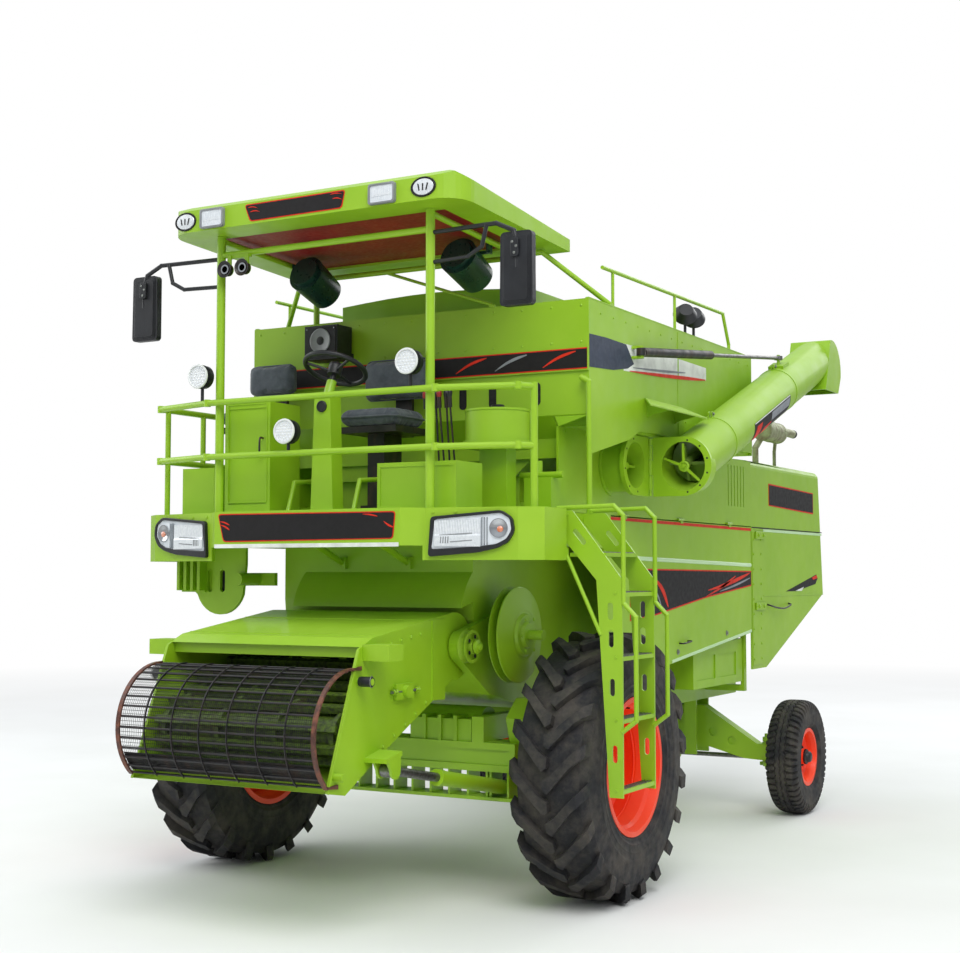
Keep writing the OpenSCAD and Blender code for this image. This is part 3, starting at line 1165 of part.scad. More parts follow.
module feeder_conveyor() color(STEEL) home() {
    low = [screen_y + 60, screen_z - 20];
    roll = 130;
    u = (feeder_pivot - low) / norm(feeder_pivot - low);
    slope = atan2(u[1], u[0]);
    dist = norm(feeder_pivot - low);
    bar_x(-feeder_half - 46, feeder_half + 150, feeder_y, feeder_z, feeder_shaft_r);
    // Feeder pulley on the shaft's left end
    translate([feeder_half + 95, feeder_y, feeder_z]) rotate([0, 90, 0]) rotate_extrude() polygon([
        [0, -26], [96, -26], [96, -20], [70, 0], [96, 20], [96, 26], [78, 26], [72, 12], [44, 12], [40, 40], [0, 40]]);
    // Lower roll and the chains round both shafts
    bar_x(-feeder_half + 12 + seat, feeder_half - 12 - seat, low[0], low[1], 50);
    bar_x(-feeder_half + 30, feeder_half - 30, low[0], low[1], roll - 26);
    bar_x(-feeder_half + 30, feeder_half - 30, feeder_y, feeder_z, 74);
    for (x = [-560, -190, 190, 560]) translate([x - 14, low[0], low[1]]) rotate([slope, 0, 0])
        rotate([90, 0, 90]) linear_extrude(28) difference() {
            polygon(concat(arc(0, 0, roll, 90, 270, 16), arc(dist, 0, 92, -90, 90, 14)));
            polygon(concat(arc(0, 0, roll - 22, 90, 270, 16), arc(dist, 0, 70, -90, 90, 14)));
        }
    // Slats across the chains
    translate([0, low[0], low[1]]) rotate([slope, 0, 0]) {
        taper = atan2(roll - 92, dist);
        for (i = [0 : 7], s = [-1, 1])
            translate([0, i * dist / 8 + 40, s * (roll - (i / 8 + 40 / dist) * (roll - 92))])
                rotate([-s * taper, 0, 0]) block([-600, -20, s > 0 ? -8 : -30], [600, 20, s > 0 ? 30 : 8]);
        for (t = [135, 180, 225]) rotate([t - 90, 0, 0]) block([-600, -20, roll - 8], [600, 20, roll + 30]);
    }
}

module drum_screen() home() {
    from = 89;
    to = 228;
    color(BLACK) for (i = [0 : screen_bars - 1]) {
        t = from + 1 + i * (to - from - 2) / (screen_bars - 1);
        bar_x(-feeder_half - 6, feeder_half + 6, screen_y + (screen_r - 3) * cos(t), screen_z + (screen_r - 3) * sin(t), 6);
    }
    for (i = [0 : 7]) {
        end = i == 0 || i == 7;
        w = end ? 26 : 5;
        x = i == 0 ? -feeder_half - 10 : i == 7 ? feeder_half + 10 - w : -feeder_half + i * 2 * feeder_half / 7;
        color(end ? RUST : BLACK) side_plate(x, x + w, concat(
            arc(screen_y, screen_z, screen_r + 8, from, to, 24), arc(screen_y, screen_z, screen_r - 2, to, from, 24)));
    }
    // Arms that carry the screen on the outside of the feeder house
    color(RUST) both() {
        side_plate(feeder_half + seat, feeder_half + 10, [
            [mouth_top[0] - 24, mouth_top[1] - 4], [mouth_top[0] + 60, mouth_top[1] - 8],
            [mouth_top[0] + 60, mouth_top[1] + 14], [mouth_top[0] - 24, mouth_top[1] + 6]]);
        side_plate(feeder_half + seat, feeder_half + 10, [
            [mouth_low[0] - 4, mouth_low[1] + 24], [mouth_low[0] + 90, mouth_low[1] + 14],
            [mouth_low[0] + 90, mouth_low[1] + 38], [mouth_low[0] + 6, mouth_low[1] + 34]]);
    }
}

module lift_barrels() color(GREEN) home() both() {
    v = [0, lift_eye[0] - lift_pin[0], lift_eye[1] - lift_pin[1]];
    u = v / norm(v);
    at = [lift_x, lift_pin[0], lift_pin[1]];
    difference() {
        union() {
            bar(at + 30 * u, at + 800 * u, 42);
            bar(at + 770 * u, at + 820 * u, 47);
            bar_x(lift_x - 34, lift_x + 34, at[1], at[2], 40);
        }
        bar_x(lift_x - 60, lift_x + 60, at[1], at[2], lift_pin_r + run_gap);
        bar(at + 120 * u, at + 900 * u, 25 + run_gap);
    }
}
module lift_rods() color(STEEL) home() both() {
    v = [0, lift_eye[0] - lift_pin[0], lift_eye[1] - lift_pin[1]];
    u = v / norm(v);
    at = [lift_x, lift_pin[0], lift_pin[1]];
    eye = [lift_x, lift_eye[0], lift_eye[1]];
    difference() {
        union() {
            bar(at + 420 * u, eye - 26 * u, 25);
            bar_x(lift_x - 30, lift_x + 30, lift_eye[0], lift_eye[1], 38);
        }
        bar_x(lift_x - 60, lift_x + 60, lift_eye[0], lift_eye[1], lift_pin_r + 9);
    }
}

main_frame();
front_axle();
threshing_housing();
side_panels();
sieve_box();
straw_walkers();
rear_hood();
engine_block();
exhaust();
grain_elevator();
drive_guard();
platform();
bumper();
headlights();
guard_rails();
ladder();
canopy_frame();
canopy_roof();
canopy_liner();
canopy_drums();
mirrors();
work_lamps();
console();
steering_wheel();
seat_frames();
seat_cushions();
speaker_box();
tank_ends();
tank_sides();
tank_floor();
tank_lid();
unloader_stub();
unloader_tube();
unloader_screw();
swing_barrel();
swing_rod();
shield_left();
shield_right();
drum_pulley();
feeder_house();
feeder_conveyor();
drum_screen();
lift_barrels();
lift_rods();
rear_axle();
tie_rod();
knuckle_left();
knuckle_right();
tyre_front_left();
tyre_front_right();
tyre_rear_left();
tyre_rear_right();
rim_front_left();
rim_front_right();
rim_rear_left();
rim_rear_right();
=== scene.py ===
"""Looks of a combine harvester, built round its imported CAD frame.

Metres, +Z up; the front faces -Y and +X is the machine's left side. Profiles that are turned round an
axis, and the sizes of bolts, are in millimetres.
"""
import json
import math

import bpy
import numpy as np
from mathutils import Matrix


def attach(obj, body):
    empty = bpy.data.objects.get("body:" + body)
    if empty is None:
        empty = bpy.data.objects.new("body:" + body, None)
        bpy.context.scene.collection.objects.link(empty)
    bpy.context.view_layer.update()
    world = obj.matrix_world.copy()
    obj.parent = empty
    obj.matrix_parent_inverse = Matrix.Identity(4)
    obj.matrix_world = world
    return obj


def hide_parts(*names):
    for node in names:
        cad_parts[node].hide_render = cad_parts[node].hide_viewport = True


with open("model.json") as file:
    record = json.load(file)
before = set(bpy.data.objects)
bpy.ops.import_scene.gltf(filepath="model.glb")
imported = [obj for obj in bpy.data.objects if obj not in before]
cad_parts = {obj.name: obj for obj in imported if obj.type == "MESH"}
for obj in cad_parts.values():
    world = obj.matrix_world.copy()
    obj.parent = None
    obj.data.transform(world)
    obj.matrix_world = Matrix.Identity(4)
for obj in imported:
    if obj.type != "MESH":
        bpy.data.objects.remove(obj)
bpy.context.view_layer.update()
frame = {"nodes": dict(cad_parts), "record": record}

# The design's own origin, on the ground under the front axle, as it lies in the frame
AXLE = np.array([-0.12625, -1.72, 0.0])
X, Y, Z = np.eye(3)
SIDES = ((-1, "right"), (1, "left"))


# Colours and finishes

def linear(code):
    """A hex colour as linear RGBA: ((c + 0.055) / 1.055) ^ 2.4 for each channel, or c / 12.92 where dark."""
    c = np.array([int(code[i:i + 2], 16) for i in (1, 3, 5)]) / 255
    c = np.where(c <= 0.04045, c / 12.92, ((c + 0.055) / 1.055) ** 2.4)
    return (*c.tolist(), 1.0)


class Finish:
    """A node material, with its nodes added by name, and the name of a slot."""

    slot = "black_plastic"

    def __init__(self, name, **sockets):
        self.name = name
        self.material = bpy.data.materials.new(name)
        self.material.use_nodes = True
        self.tree = self.material.node_tree
        self.shader = self.tree.nodes["Principled BSDF"]
        for key, value in sockets.items():
            self.shader.inputs[key.replace("_", " ")].default_value = value
        self.place = self.add("TexCoord").outputs["Object"]

    def feed(self, socket, value):
        """Set a hex colour, a number or a vector on a socket, or link another node's output to it."""
        if isinstance(value, str):
            socket.default_value = linear(value)
        elif isinstance(value, (int, float, tuple)):
            socket.default_value = value
        else:
            self.tree.links.new(value, socket)
        return self

    def add(self, kind, inputs=None, **settings):
        """A shader node with its settings, and what feeds its inputs by their name or number."""
        node = self.tree.nodes.new("ShaderNode" + kind)
        for key, value in settings.items():
            setattr(node, key, value)
        for key, value in (inputs or {}).items():
            self.feed(node.inputs[key], value)
        return node

    def noise(self, scale, detail=3.0, rough=0.5, stretch=(1, 1, 1)):
        """Noise between 0 and 1 at the object's own coordinates, stretched by axis."""
        maps = self.add("Mapping", {"Vector": self.place, "Scale": stretch})
        return self.add("TexNoise", {"Vector": maps.outputs["Vector"], "Scale": scale, "Detail": detail,
                                     "Roughness": rough}).outputs["Fac"]

    def bands(self, axis, scale):
        """Waves between 0 and 1 that follow each other along one axis."""
        return self.add("TexWave", {"Vector": self.place, "Scale": scale}, wave_type="BANDS",
                        bands_direction=axis).outputs["Fac"]

    def ramp(self, source, low, high, to_low=0.0, to_high=1.0):
        """The part of source between low and high, spread over to_low and to_high."""
        return self.add("MapRange", {"Value": source, "From Min": low, "From Max": high,
                                     "To Min": to_low, "To Max": to_high}).outputs["Result"]

    def math(self, kind, a, b=0.0):
        """One step of arithmetic, by its Blender name."""
        return self.add("Math", {0: a, 1: b}, operation=kind).outputs[0]

    def times(self, a, b):
        """a x b."""
        return self.math("MULTIPLY", a, b)

    def plus(self, a, b):
        """a + b."""
        return self.math("ADD", a, b)

    def mix(self, share, a, b):
        """Colour a where share is 0 and colour b where it is 1."""
        node = self.add("Mix", {"Factor": share}, data_type="RGBA")
        for socket in node.inputs:
            if socket.type == "RGBA":
                self.feed(socket, a if socket.name == "A" else b)
        return next(s for s in node.outputs if s.type == "RGBA")

    def part(self, vector, axis):
        """The X, Y or Z of a vector."""
        return self.add("SeparateXYZ", {0: vector}).outputs[axis]

    def upward(self):
        """How far a face looks up, from -1 to 1: the Z of its normal."""
        return self.part(self.add("NewGeometry").outputs["Normal"], "Z")

    def leftward(self):
        """How far a point lies to the left of the machine's middle plane."""
        return self.plus(self.part(self.place, "X"), -float(AXLE[0]))

    def colour(self, out):
        """Set what colours the surface."""
        return self.feed(self.shader.inputs["Base Color"], out)

    def roughness(self, out):
        """Set how rough the surface is."""
        return self.feed(self.shader.inputs["Roughness"], out)

    def bump(self, height, strength, distance):
        """Let a height from 0 to 1 tilt the surface's normals."""
        node = self.add("Bump", {"Height": height, "Strength": strength, "Distance": distance})
        return self.feed(self.shader.inputs["Normal"], node.outputs["Normal"])


def sprayed(name, main, shade, dust, coat, rough=(0.26, 0.42), dirt=0.35):
    """Sprayed paint: two close shades by a slow noise, a fine orange peel, and dust where faces look up.

    The film of dust = how far the face looks up x the slow noise x a half to one by a fine noise.
    """
    f = Finish(name, Coat_Weight=coat, Coat_Roughness=0.12)
    slow = f.noise(1.6, 4.0, 0.6)
    body = f.mix(f.ramp(slow, 0.35, 0.7), main, shade)
    speck = f.ramp(f.noise(38, 6.0, 0.7), 0.5, 0.72)
    film = f.times(f.ramp(f.upward(), 0.25, 0.95), f.ramp(slow, 0.3, 0.75, 0.35, 1.0))
    film = f.times(film, f.plus(f.times(speck, 0.5), 0.5))
    f.colour(f.mix(f.times(film, dirt), body, dust))
    f.roughness(f.plus(f.ramp(f.noise(7, 4.0), 0.3, 0.7, *rough), f.times(film, 0.25)))
    return f.bump(f.noise(420, 2.0), 0.06, 0.0006)


def worn(name, main, under, amount, rough):
    """Thin paint worn through: a noise pulled out along Z picks where the colour under it shows."""
    f = Finish(name)
    bare = f.ramp(f.noise(9, 6.0, 0.65, (1, 1, 0.45)), 0.5, 0.66)
    f.colour(f.mix(f.times(bare, amount), main, under))
    f.roughness(f.ramp(f.noise(16, 4.0), 0.3, 0.7, *rough))
    return f.bump(f.noise(160, 5.0, 0.7), 0.25, 0.0008)


def metal(name, main, shade, rough, scale, metallic=1.0):
    """Bare metal: one noise gives its two shades, its roughness and its relief."""
    f = Finish(name, Metallic=metallic)
    grain = f.noise(scale, 5.0, 0.6)
    f.colour(f.mix(f.ramp(grain, 0.3, 0.7), main, shade))
    f.roughness(f.ramp(grain, 0.25, 0.75, *rough))
    return f.bump(grain, 0.15, 0.0005)


def rubber(name, main, dusty):
    """Tyre rubber: dark, dusty in patches by a noise, with a fine moulded grain."""
    f = Finish(name, Specular_IOR_Level=0.35)
    dust = f.times(f.ramp(f.noise(5, 6.0, 0.7), 0.42, 0.75), 0.55)
    f.colour(f.mix(dust, main, dusty))
    f.roughness(f.ramp(f.noise(24), 0.3, 0.7, 0.62, 0.85))
    return f.bump(f.noise(240, 4.0, 0.7), 0.22, 0.0008)


def moulded(name, main, shade, rough=(0.35, 0.5), grain=500, depth=0.12):
    """Moulded plastic: a slight change of shade and a fine grain, each by a noise."""
    f = Finish(name)
    f.colour(f.mix(f.ramp(f.noise(6), 0.35, 0.65), main, shade))
    f.roughness(f.ramp(f.noise(40), 0.3, 0.7, *rough))
    return f.bump(f.noise(grain, 2.0), depth, 0.0004)


def woven(name, main, shade):
    """Cloth: the relief is the warp's bands x the weft's bands + a noise, over a cloudy change of shade."""
    threads = 900 / 6.28
    f = Finish(name, Roughness=0.9, Sheen_Weight=0.25)
    f.colour(f.mix(f.ramp(f.noise(14, 5.0, 0.65), 0.35, 0.7), main, shade))
    weave = f.times(f.bands("X", threads), f.bands("Z", threads))
    return f.bump(f.plus(weave, f.noise(300)), 0.3, 0.0006)


def flat_print(name, main):
    """A printed foil with a soft gloss: one colour that fades to 0.86 of itself by a slow noise."""
    f = Finish(name, Specular_IOR_Level=0.25)
    faded = "#" + "".join("%02x" % int(int(main[i:i + 2], 16) * 0.86) for i in (1, 3, 5))
    f.colour(f.mix(f.ramp(f.noise(9, 4.0, 0.6), 0.4, 0.75), main, faded))
    f.roughness(f.ramp(f.noise(30), 0.3, 0.7, 0.5, 0.65))
    return f.bump(f.noise(120, 2.0), 0.05, 0.0004)


def glassy(name, main, rough, metallic=0.0, ribs=0):
    """Lamp or mirror face: smooth and bright, with moulded ribs across it where ribs is over 0."""
    f = Finish(name, Metallic=metallic, Coat_Weight=0.8, Coat_Roughness=0.03)
    f.colour(f.mix(f.ramp(f.noise(20), 0.3, 0.7, 0.0, 0.35), main, "#FFFFFF"))
    f.roughness(f.ramp(f.noise(60, 2.0), 0.3, 0.7, rough, rough + 0.06))
    return f.bump(f.bands("X", ribs), 0.5, 0.002) if ribs else f


def screen_paint():
    """The drum screen: dark paint stained by a noise, and rusty hoops over 0.626 m from the middle."""
    f = Finish("screen_paint")
    outer = f.ramp(f.math("ABSOLUTE", f.leftward()), 0.622, 0.630)
    stain = f.ramp(f.noise(26, 6.0, 0.7), 0.42, 0.6)
    paint = f.mix(f.times(stain, 0.35), "#1C1D20", "#3F3029")
    f.colour(f.mix(outer, paint, f.mix(stain, "#4A2A20", "#7A4A36")))
    f.roughness(f.ramp(stain, 0.0, 1.0, 0.38, 0.7))
    return f.bump(f.noise(150, 5.0, 0.7), 0.25, 0.0008)


def conveyor_oil_and_shade():
    """The slat conveyor: green darkened inside the feeder's left wall as painted shade, dulled with oil by a
    noise, and clean paint outside the wall.
    """
    f = Finish("conveyor_oil_and_shade")
    outside = f.ramp(f.leftward(), 0.646, 0.650)
    oil = f.ramp(f.noise(40, 5.0, 0.6), 0.35, 0.65)
    # Inside the wall a darker green, the painted shade of the feeder's inside, with oil in patches
    f.colour(f.mix(outside, f.mix(oil, "#5F7A1C", "#37402A"), f.mix(oil, "#86AE18", "#92B824")))
    f.roughness(f.ramp(oil, 0.0, 1.0, 0.38, 0.6))
    return f.bump(f.noise(200, 4.0), 0.12, 0.0006)


LIME = sprayed("lime_paint", "#8CB814", "#97C022", "#BDC594", 0.18, (0.4, 0.55), 0.14)
ORANGE = sprayed("orange_paint", "#FA3A06", "#FF4A10", "#C88A6A", 0.10, (0.4, 0.55), 0.2)
# The screw's flight: lime darkened as the painted shade of the tube's inside
FLIGHT = sprayed("screw_paint", "#6E8C2C", "#56702A", "#8E9870", 0.2, (0.3, 0.5), 0.2)
# Pale green on ribs, hems and folds: the painted highlight of the light they catch
PAINTED_HIGHLIGHT = sprayed("painted_highlight", "#BDE0A6", "#CDEBBC", "#D5D9BE", 0.12)
BLACK = worn("black_paint", "#1B1A19", "#4A3324", 0.55, (0.35, 0.6))
RUBBER = rubber("tyre_rubber", "#232326", "#6B6357")
LINER = moulded("red_liner", "#7C1210", "#8E1A16", (0.45, 0.6), 300, 0.1)
DRUM = moulded("dark_green_plastic", "#0E2B23", "#153A2E", (0.25, 0.4))
PLASTIC = moulded("black_plastic", "#16171A", "#202226")
GREY_PLASTIC = moulded("grey_plastic", "#8B8E90", "#75787A")
WHITE_PLASTIC = moulded("white_plastic", "#E6E8E6", "#D5D8D6")
KNOB = moulded("red_knob", "#8E1E18", "#A32A22")
# Near-black: the painted shade of gaps, slots, holes and recesses, and soot with shade at the exhaust's tail
DARK = moulded("shadow_gap", "#0C0D0D", "#141515", (0.6, 0.8))
SEAT = woven("seat_cover", "#454B52", "#5A6169")
GRILLE = woven("speaker_cloth", "#1A1B1D", "#2B2C2F")
ZINC = metal("zinc_sheet", "#9EA09B", "#7F827E", (0.35, 0.6), 12)
CAST = metal("cast_grey", "#5D5F60", "#4A4B4C", (0.5, 0.75), 40, 0.6)
EXHAUST = metal("exhaust_steel", "#A3AC84", "#746A50", (0.4, 0.7), 14, 0.35)
STEEL = metal("worn_steel", "#8D8F8E", "#6C6863", (0.3, 0.55), 50)
CHROME = metal("chrome", "#D9DCDE", "#C3C7CA", (0.06, 0.14), 10)
# Near-white and mostly diffuse: the bright reflection of a chrome reflector is painted into its colour
BOWL = metal("bright_bowl", "#F0F3F5", "#D8DDE1", (0.25, 0.4), 60, 0.3)
LENS = glassy("lamp_glass", "#DDE4EA", 0.08, ribs=40)
MIRROR = glassy("mirror_glass", "#B9C4CC", 0.03, 1.0)
AMBER = glassy("amber_glass", "#D8681C", 0.1)
PRINT_BLACK = flat_print("black_foil", "#1E1C1D")
PRINT_RED = flat_print("red_foil", "#DC3018")
PRINT_WHITE = flat_print("white_foil", "#E9ECE6")
PRINT_GREY = flat_print("grey_foil", "#8E9298")
PRINT_SLATE = flat_print("slate_foil", "#3C4454")

# The record's slots are named as the finishes of the CAD nodes that use them
SLOT_FINISH = {f.name: f for f in (LIME, ORANGE, BLACK, RUBBER, LINER, DRUM, PLASTIC, SEAT, LENS, ZINC,
                                   CAST, EXHAUST, STEEL)}
for f in SLOT_FINISH.values():
    f.slot = f.name
for f in (CHROME, BOWL, MIRROR, AMBER):
    f.slot = LENS.name
PAINTED_HIGHLIGHT.slot = LIME.name
OWN_FINISH = {"drum_screen": screen_paint(), "feeder_conveyor": conveyor_oil_and_shade(), "unloader_screw": FLIGHT}
for part in frame["record"]["subparts"]:
    node = frame["nodes"][part["node"]]
    node.data.materials.clear()
    f = OWN_FINISH.get(part["node"], SLOT_FINISH[part["material_slot"]])
    node.data.materials.append(f.material)


# Meshes

TIP = 0.5       # Radius in mm at which a turned profile ends on its axis


def piece(name, form, finish, body="chassis", smooth=False, soft=0.0):
    """A mesh from a form (points, faces) in the design's own axes, put into the frame and riding on a body.

    `soft` is the width of its edges' rounding.
    """
    points, faces = form
    data = bpy.data.meshes.new(name)
    data.from_pydata((np.asarray(points, float) + AXLE).tolist(), [], [list(map(int, f)) for f in faces])
    data.validate()
    data.materials.append(finish.material)
    o = bpy.data.objects.new(name, data)
    bpy.context.scene.collection.objects.link(o)
    if smooth:
        data.shade_smooth()
        data.set_sharp_from_angle(angle=math.radians(38))
    if soft:
        m = o.modifiers.new("edges", "BEVEL")
        m.width, m.segments, m.limit_method, m.angle_limit = soft, 2, "ANGLE", math.radians(35)
    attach(o, body)
    return o


def together(forms):
    """Several forms as one: the faces of each count on from the points before it."""
    points, faces, start = [], [], 0
    for p, f in forms:
        points.append(np.asarray(p, float))
        faces += [[i + start for i in face] for face in f]
        start += len(p)
    return np.vstack(points), faces


def grid_faces(n, m, round_n=False, round_m=False):
    """Quads between the neighbours of an n by m grid; a round direction joins its last row to its first."""
    i, j = np.meshgrid(np.arange(n if round_n else n - 1), np.arange(m if round_m else m - 1), indexing="ij")
    next_i, next_j = (i + 1) % n, (j + 1) % m
    quads = np.stack([i * m + j, i * m + next_j, next_i * m + next_j, next_i * m + j], -1)
    return quads.reshape(-1, 4).tolist()


def end_caps(n, m):
    """The first and the last of n rings of m points as faces."""
    return [list(range(m))[::-1], list(range((n - 1) * m, n * m))]


def facing_out(points, faces):
    """A form with its faces turned where its signed volume is negative."""
    p = np.asarray(points, float)
    volume = sum(np.dot(p[q[0]], np.cross(p[q[i]], p[q[i + 1]])) for q in faces for i in range(1, len(q) - 1))
    return p, faces if volume > 0 else [q[::-1] for q in faces]


def mirrored(s, form):
    """A form of the left side as it is, or for s = -1 its reflection in the machine's middle plane."""
    return form if s > 0 else (form[0] * (-1, 1, 1), [q[::-1] for q in form[1]])


def rect(a0, a1, b0, b1):
    """The corners of a rectangle between two values each way."""
    return [(a0, b0), (a1, b0), (a1, b1), (a0, b1)]


def turn(n):
    """n equal steps of a full turn."""
    return np.arange(n) * 2 * np.pi / n


def disc(r, n):
    """n points on a circle of radius r."""
    return np.c_[np.cos(turn(n)), np.sin(turn(n))] * r


def around(at, r, angles, u=Y, v=Z):
    """Places on a circle of radius r round `at`, in the plane of u and v."""
    return [np.asarray(at, float) + r * (math.cos(a) * u + math.sin(a) * v) for a in angles]


def rounded(a, b, r, n=6):
    """A rectangle a by b round its middle with corners of radius r, as quarter circles of n steps."""
    t = np.linspace(0, np.pi / 2, n + 1)
    quarters = []
    for k, (x, y) in enumerate(((1, 1), (-1, 1), (-1, -1), (1, -1))):
        angle = t + k * np.pi / 2
        quarters.append(np.c_[x * (a / 2 - r) + r * np.cos(angle), y * (b / 2 - r) + r * np.sin(angle)])
    return np.vstack(quarters)


def corners(points, r, n=5):
    """A polygon with each corner replaced by a quadratic curve that starts and ends r away from it."""
    p = np.asarray(points, float)
    t = np.linspace(0, 1, n + 1)[:, None]
    out = []
    for a, b, c in zip(np.roll(p, 1, 0), p, np.roll(p, -1, 0)):
        start, end = (b + (q - b) / np.linalg.norm(q - b) * r for q in (a, c))
        out.append((1 - t) ** 2 * start + 2 * t * (1 - t) * b + t ** 2 * end)
    return np.vstack(out)


def shrunk(outline, edge):
    """An outline drawn in towards its middle, so that its box is twice `edge` narrower each way."""
    p = np.asarray(outline, float)
    return p.mean(0) + (p - p.mean(0)) * (1 - 2 * edge / np.ptp(p, axis=0))


def slash(a, b, thick_a, thick_b, bow=0.0, n=14):
    """A pointed stroke from a to b: its middle line bows sideways by a sine, its width is thick_a to thick_b
    times the root of a sine."""
    t = np.linspace(0, 1, n)[:, None]
    a, b = np.asarray(a, float), np.asarray(b, float)
    side = np.array([-(b - a)[1], (b - a)[0]]) / np.linalg.norm(b - a)
    line = a + (b - a) * t + side * bow * np.sin(np.pi * t)
    half = (thick_a + (thick_b - thick_a) * t) / 2 * np.sin(np.pi * np.clip(t, 0.02, 0.98)) ** 0.5
    return np.vstack([line + side * half, (line - side * half)[::-1]])


def on_plane(outline, at, u, v):
    """The (u, v) points of an outline as places on a plane through `at`."""
    outline = np.asarray(outline, float)
    return np.asarray(at, float) + outline[:, :1] * u + outline[:, 1:] * v


def slab(outline, at, u, v, depth):
    """A flat outline carried from its plane along u x v by depth: two caps and a wall."""
    base = on_plane(outline, at, u, v)
    n = len(base)
    wall = [[i, (i + 1) % n, (i + 1) % n + n, i + n] for i in range(n)]
    return facing_out(np.vstack([base, base + np.cross(u, v) * depth]), end_caps(2, n) + wall)


def ring_slab(outer, inner, at, u, v, depth):
    """A frame between two outlines with the same number of points, carried along u x v by depth."""
    a, b, w = on_plane(outer, at, u, v), on_plane(inner, at, u, v), np.cross(u, v) * depth
    return facing_out(np.vstack([a, a + w, b + w, b]), grid_faces(4, len(a), True, True))


def side_sheet(s, outline, x, depth):
    """A sheet along one side: its outline in (Y, Z), the middle of its depth x off the middle plane."""
    return slab(outline, (s * x - depth / 2, 0, 0), Y, Z, depth)


def shell(first, second):
    """Two grids of points, one over the other, closed by a wall round their rims."""
    n, m = first.shape[:2]
    rim = [i * m for i in range(n)] + [(n - 1) * m + j for j in range(1, m)]
    rim += [i * m + m - 1 for i in range(n - 2, -1, -1)] + list(range(m - 2, 0, -1))
    wall = [[a, b, b + n * m, a + n * m] for a, b in zip(rim, rim[1:] + rim[:1])]
    quads = grid_faces(n, m)
    faces = quads + [[i + n * m for i in q[::-1]] for q in quads] + wall
    return facing_out(np.vstack([first.reshape(-1, 3), second.reshape(-1, 3)]), faces)


def turned(profile, at, axis, n=48, closed=False):
    """A profile of (radius, height) in mm turned round an axis through `at`.

    A cap closes each of its ends; a closed profile's last point joins its first instead.
    """
    axis = np.asarray(axis, float) / np.linalg.norm(axis)
    side = np.cross(axis, Z if abs(axis[2]) < 0.9 else X)
    side /= np.linalg.norm(side)
    up = np.cross(axis, side)
    profile = np.asarray(profile, float)[:, None] / 1000
    spoke = np.cos(turn(n))[:, None] * side + np.sin(turn(n))[:, None] * up
    points = np.asarray(at, float) + profile[..., :1] * spoke + profile[..., 1:] * axis
    faces = grid_faces(len(profile), n, closed, True)
    return facing_out(points.reshape(-1, 3), faces if closed else faces + end_caps(len(profile), n))


def hoop(profile, at, axis, n):
    """A closed profile of (radius, height) in mm turned round an axis."""
    return turned(profile, at, axis, n, True)


def turned_at(places, profile, axis, n):
    """The same turned form at each of several places."""
    return together([turned(profile, p, axis, n) for p in places])


def hex_bolts(places, normal, size, height, washer=True):
    """A hexagon head with a domed top on a washer at each place, standing along one normal."""
    head = [(TIP, 0), (size, 0), (size, height * 0.75), (size * 0.82, height), (TIP, height * 1.05)]
    heads = turned_at(places, head, normal, 6)
    if not washer:
        return heads
    return together([heads, turned_at(places, rect(TIP, size * 1.35, -1, 1.8), normal, 16)])


def smooth_path(points, steps):
    """A Catmull-Rom curve through the points, with `steps` parts between two of them."""
    p = np.asarray(points, float)
    p = np.vstack([2 * p[0] - p[1], p, 2 * p[-1] - p[-2]])
    t = np.linspace(0, 1, steps, endpoint=False)[:, None]
    parts = []
    for a, b, c, d in zip(p[:-3], p[1:-2], p[2:-1], p[3:]):
        square, cube = 2 * a - 5 * b + 4 * c - d, 3 * b - a - 3 * c + d
        parts.append(0.5 * (2 * b + (c - a) * t + square * t ** 2 + cube * t ** 3))
    return np.vstack(parts + [p[-2:-1]])


def along_path(path, section, closed=False):
    """A section of (side, up) points carried along a path: it starts level and turns as little as it can."""
    path, section = np.asarray(path, float), np.asarray(section, float)
    step = np.roll(path, -1, 0) - np.roll(path, 1, 0) if closed else np.gradient(path, axis=0)
    step /= np.linalg.norm(step, axis=1)[:, None]
    first = np.cross(step[0], Z)
    if np.linalg.norm(first) < 0.2:
        first = np.cross(step[0], X)
    sides = [first / np.linalg.norm(first)]
    for d in step[1:]:
        across = sides[-1] - d * np.dot(sides[-1], d)
        sides.append(across / np.linalg.norm(across))
    sides = np.array(sides)[:, None]
    ups = np.cross(sides, step[:, None])
    points = path[:, None] + sides * section[None, :, :1] + ups * section[None, :, 1:]
    n, m = len(path), len(section)
    faces = grid_faces(n, m, closed, True)
    return facing_out(points.reshape(-1, 3), faces if closed else faces + end_caps(n, m))


def pipe(points, r, n=10, steps=6):
    """A round bar of radius r along a smooth curve through the points."""
    return along_path(smooth_path(points, steps), disc(r, n))


# Prints

FOIL = 0.0014           # Thickness of a print
HAIR = 0.0004           # Its distance from the sheet under it
LAYER = 0.0015          # From one print to the next on top of it
SIDE = 1.0200           # X of the side sheets
TANK_SIDE = 1.25        # X of the tank's sides


def side_print(s, name, outline, finish, body="chassis", lift=0.0, x=SIDE):
    """A print on a side, its outline in (Y, Z); the right side gets its mirror image."""
    form = slab(outline, (x + lift + HAIR, 0, 0), Y, Z, FOIL)
    piece(name, mirrored(s, form), finish, body)


def front_print(name, outline, y, finish):
    """A print on a front face at y, its outline in (X, Z)."""
    piece(name, slab(outline, (0, y - HAIR, 0), X, Z, FOIL), finish)


def front_frame(name, points, y, r=0.022, edge=0.007):
    """A black plate with a red edge and round corners on a front face."""
    front_print(name + "_edge", corners(points, r), y, PRINT_RED)
    front_print(name + "_face", corners(shrunk(points, edge), r * 0.8), y - LAYER, PRINT_BLACK)


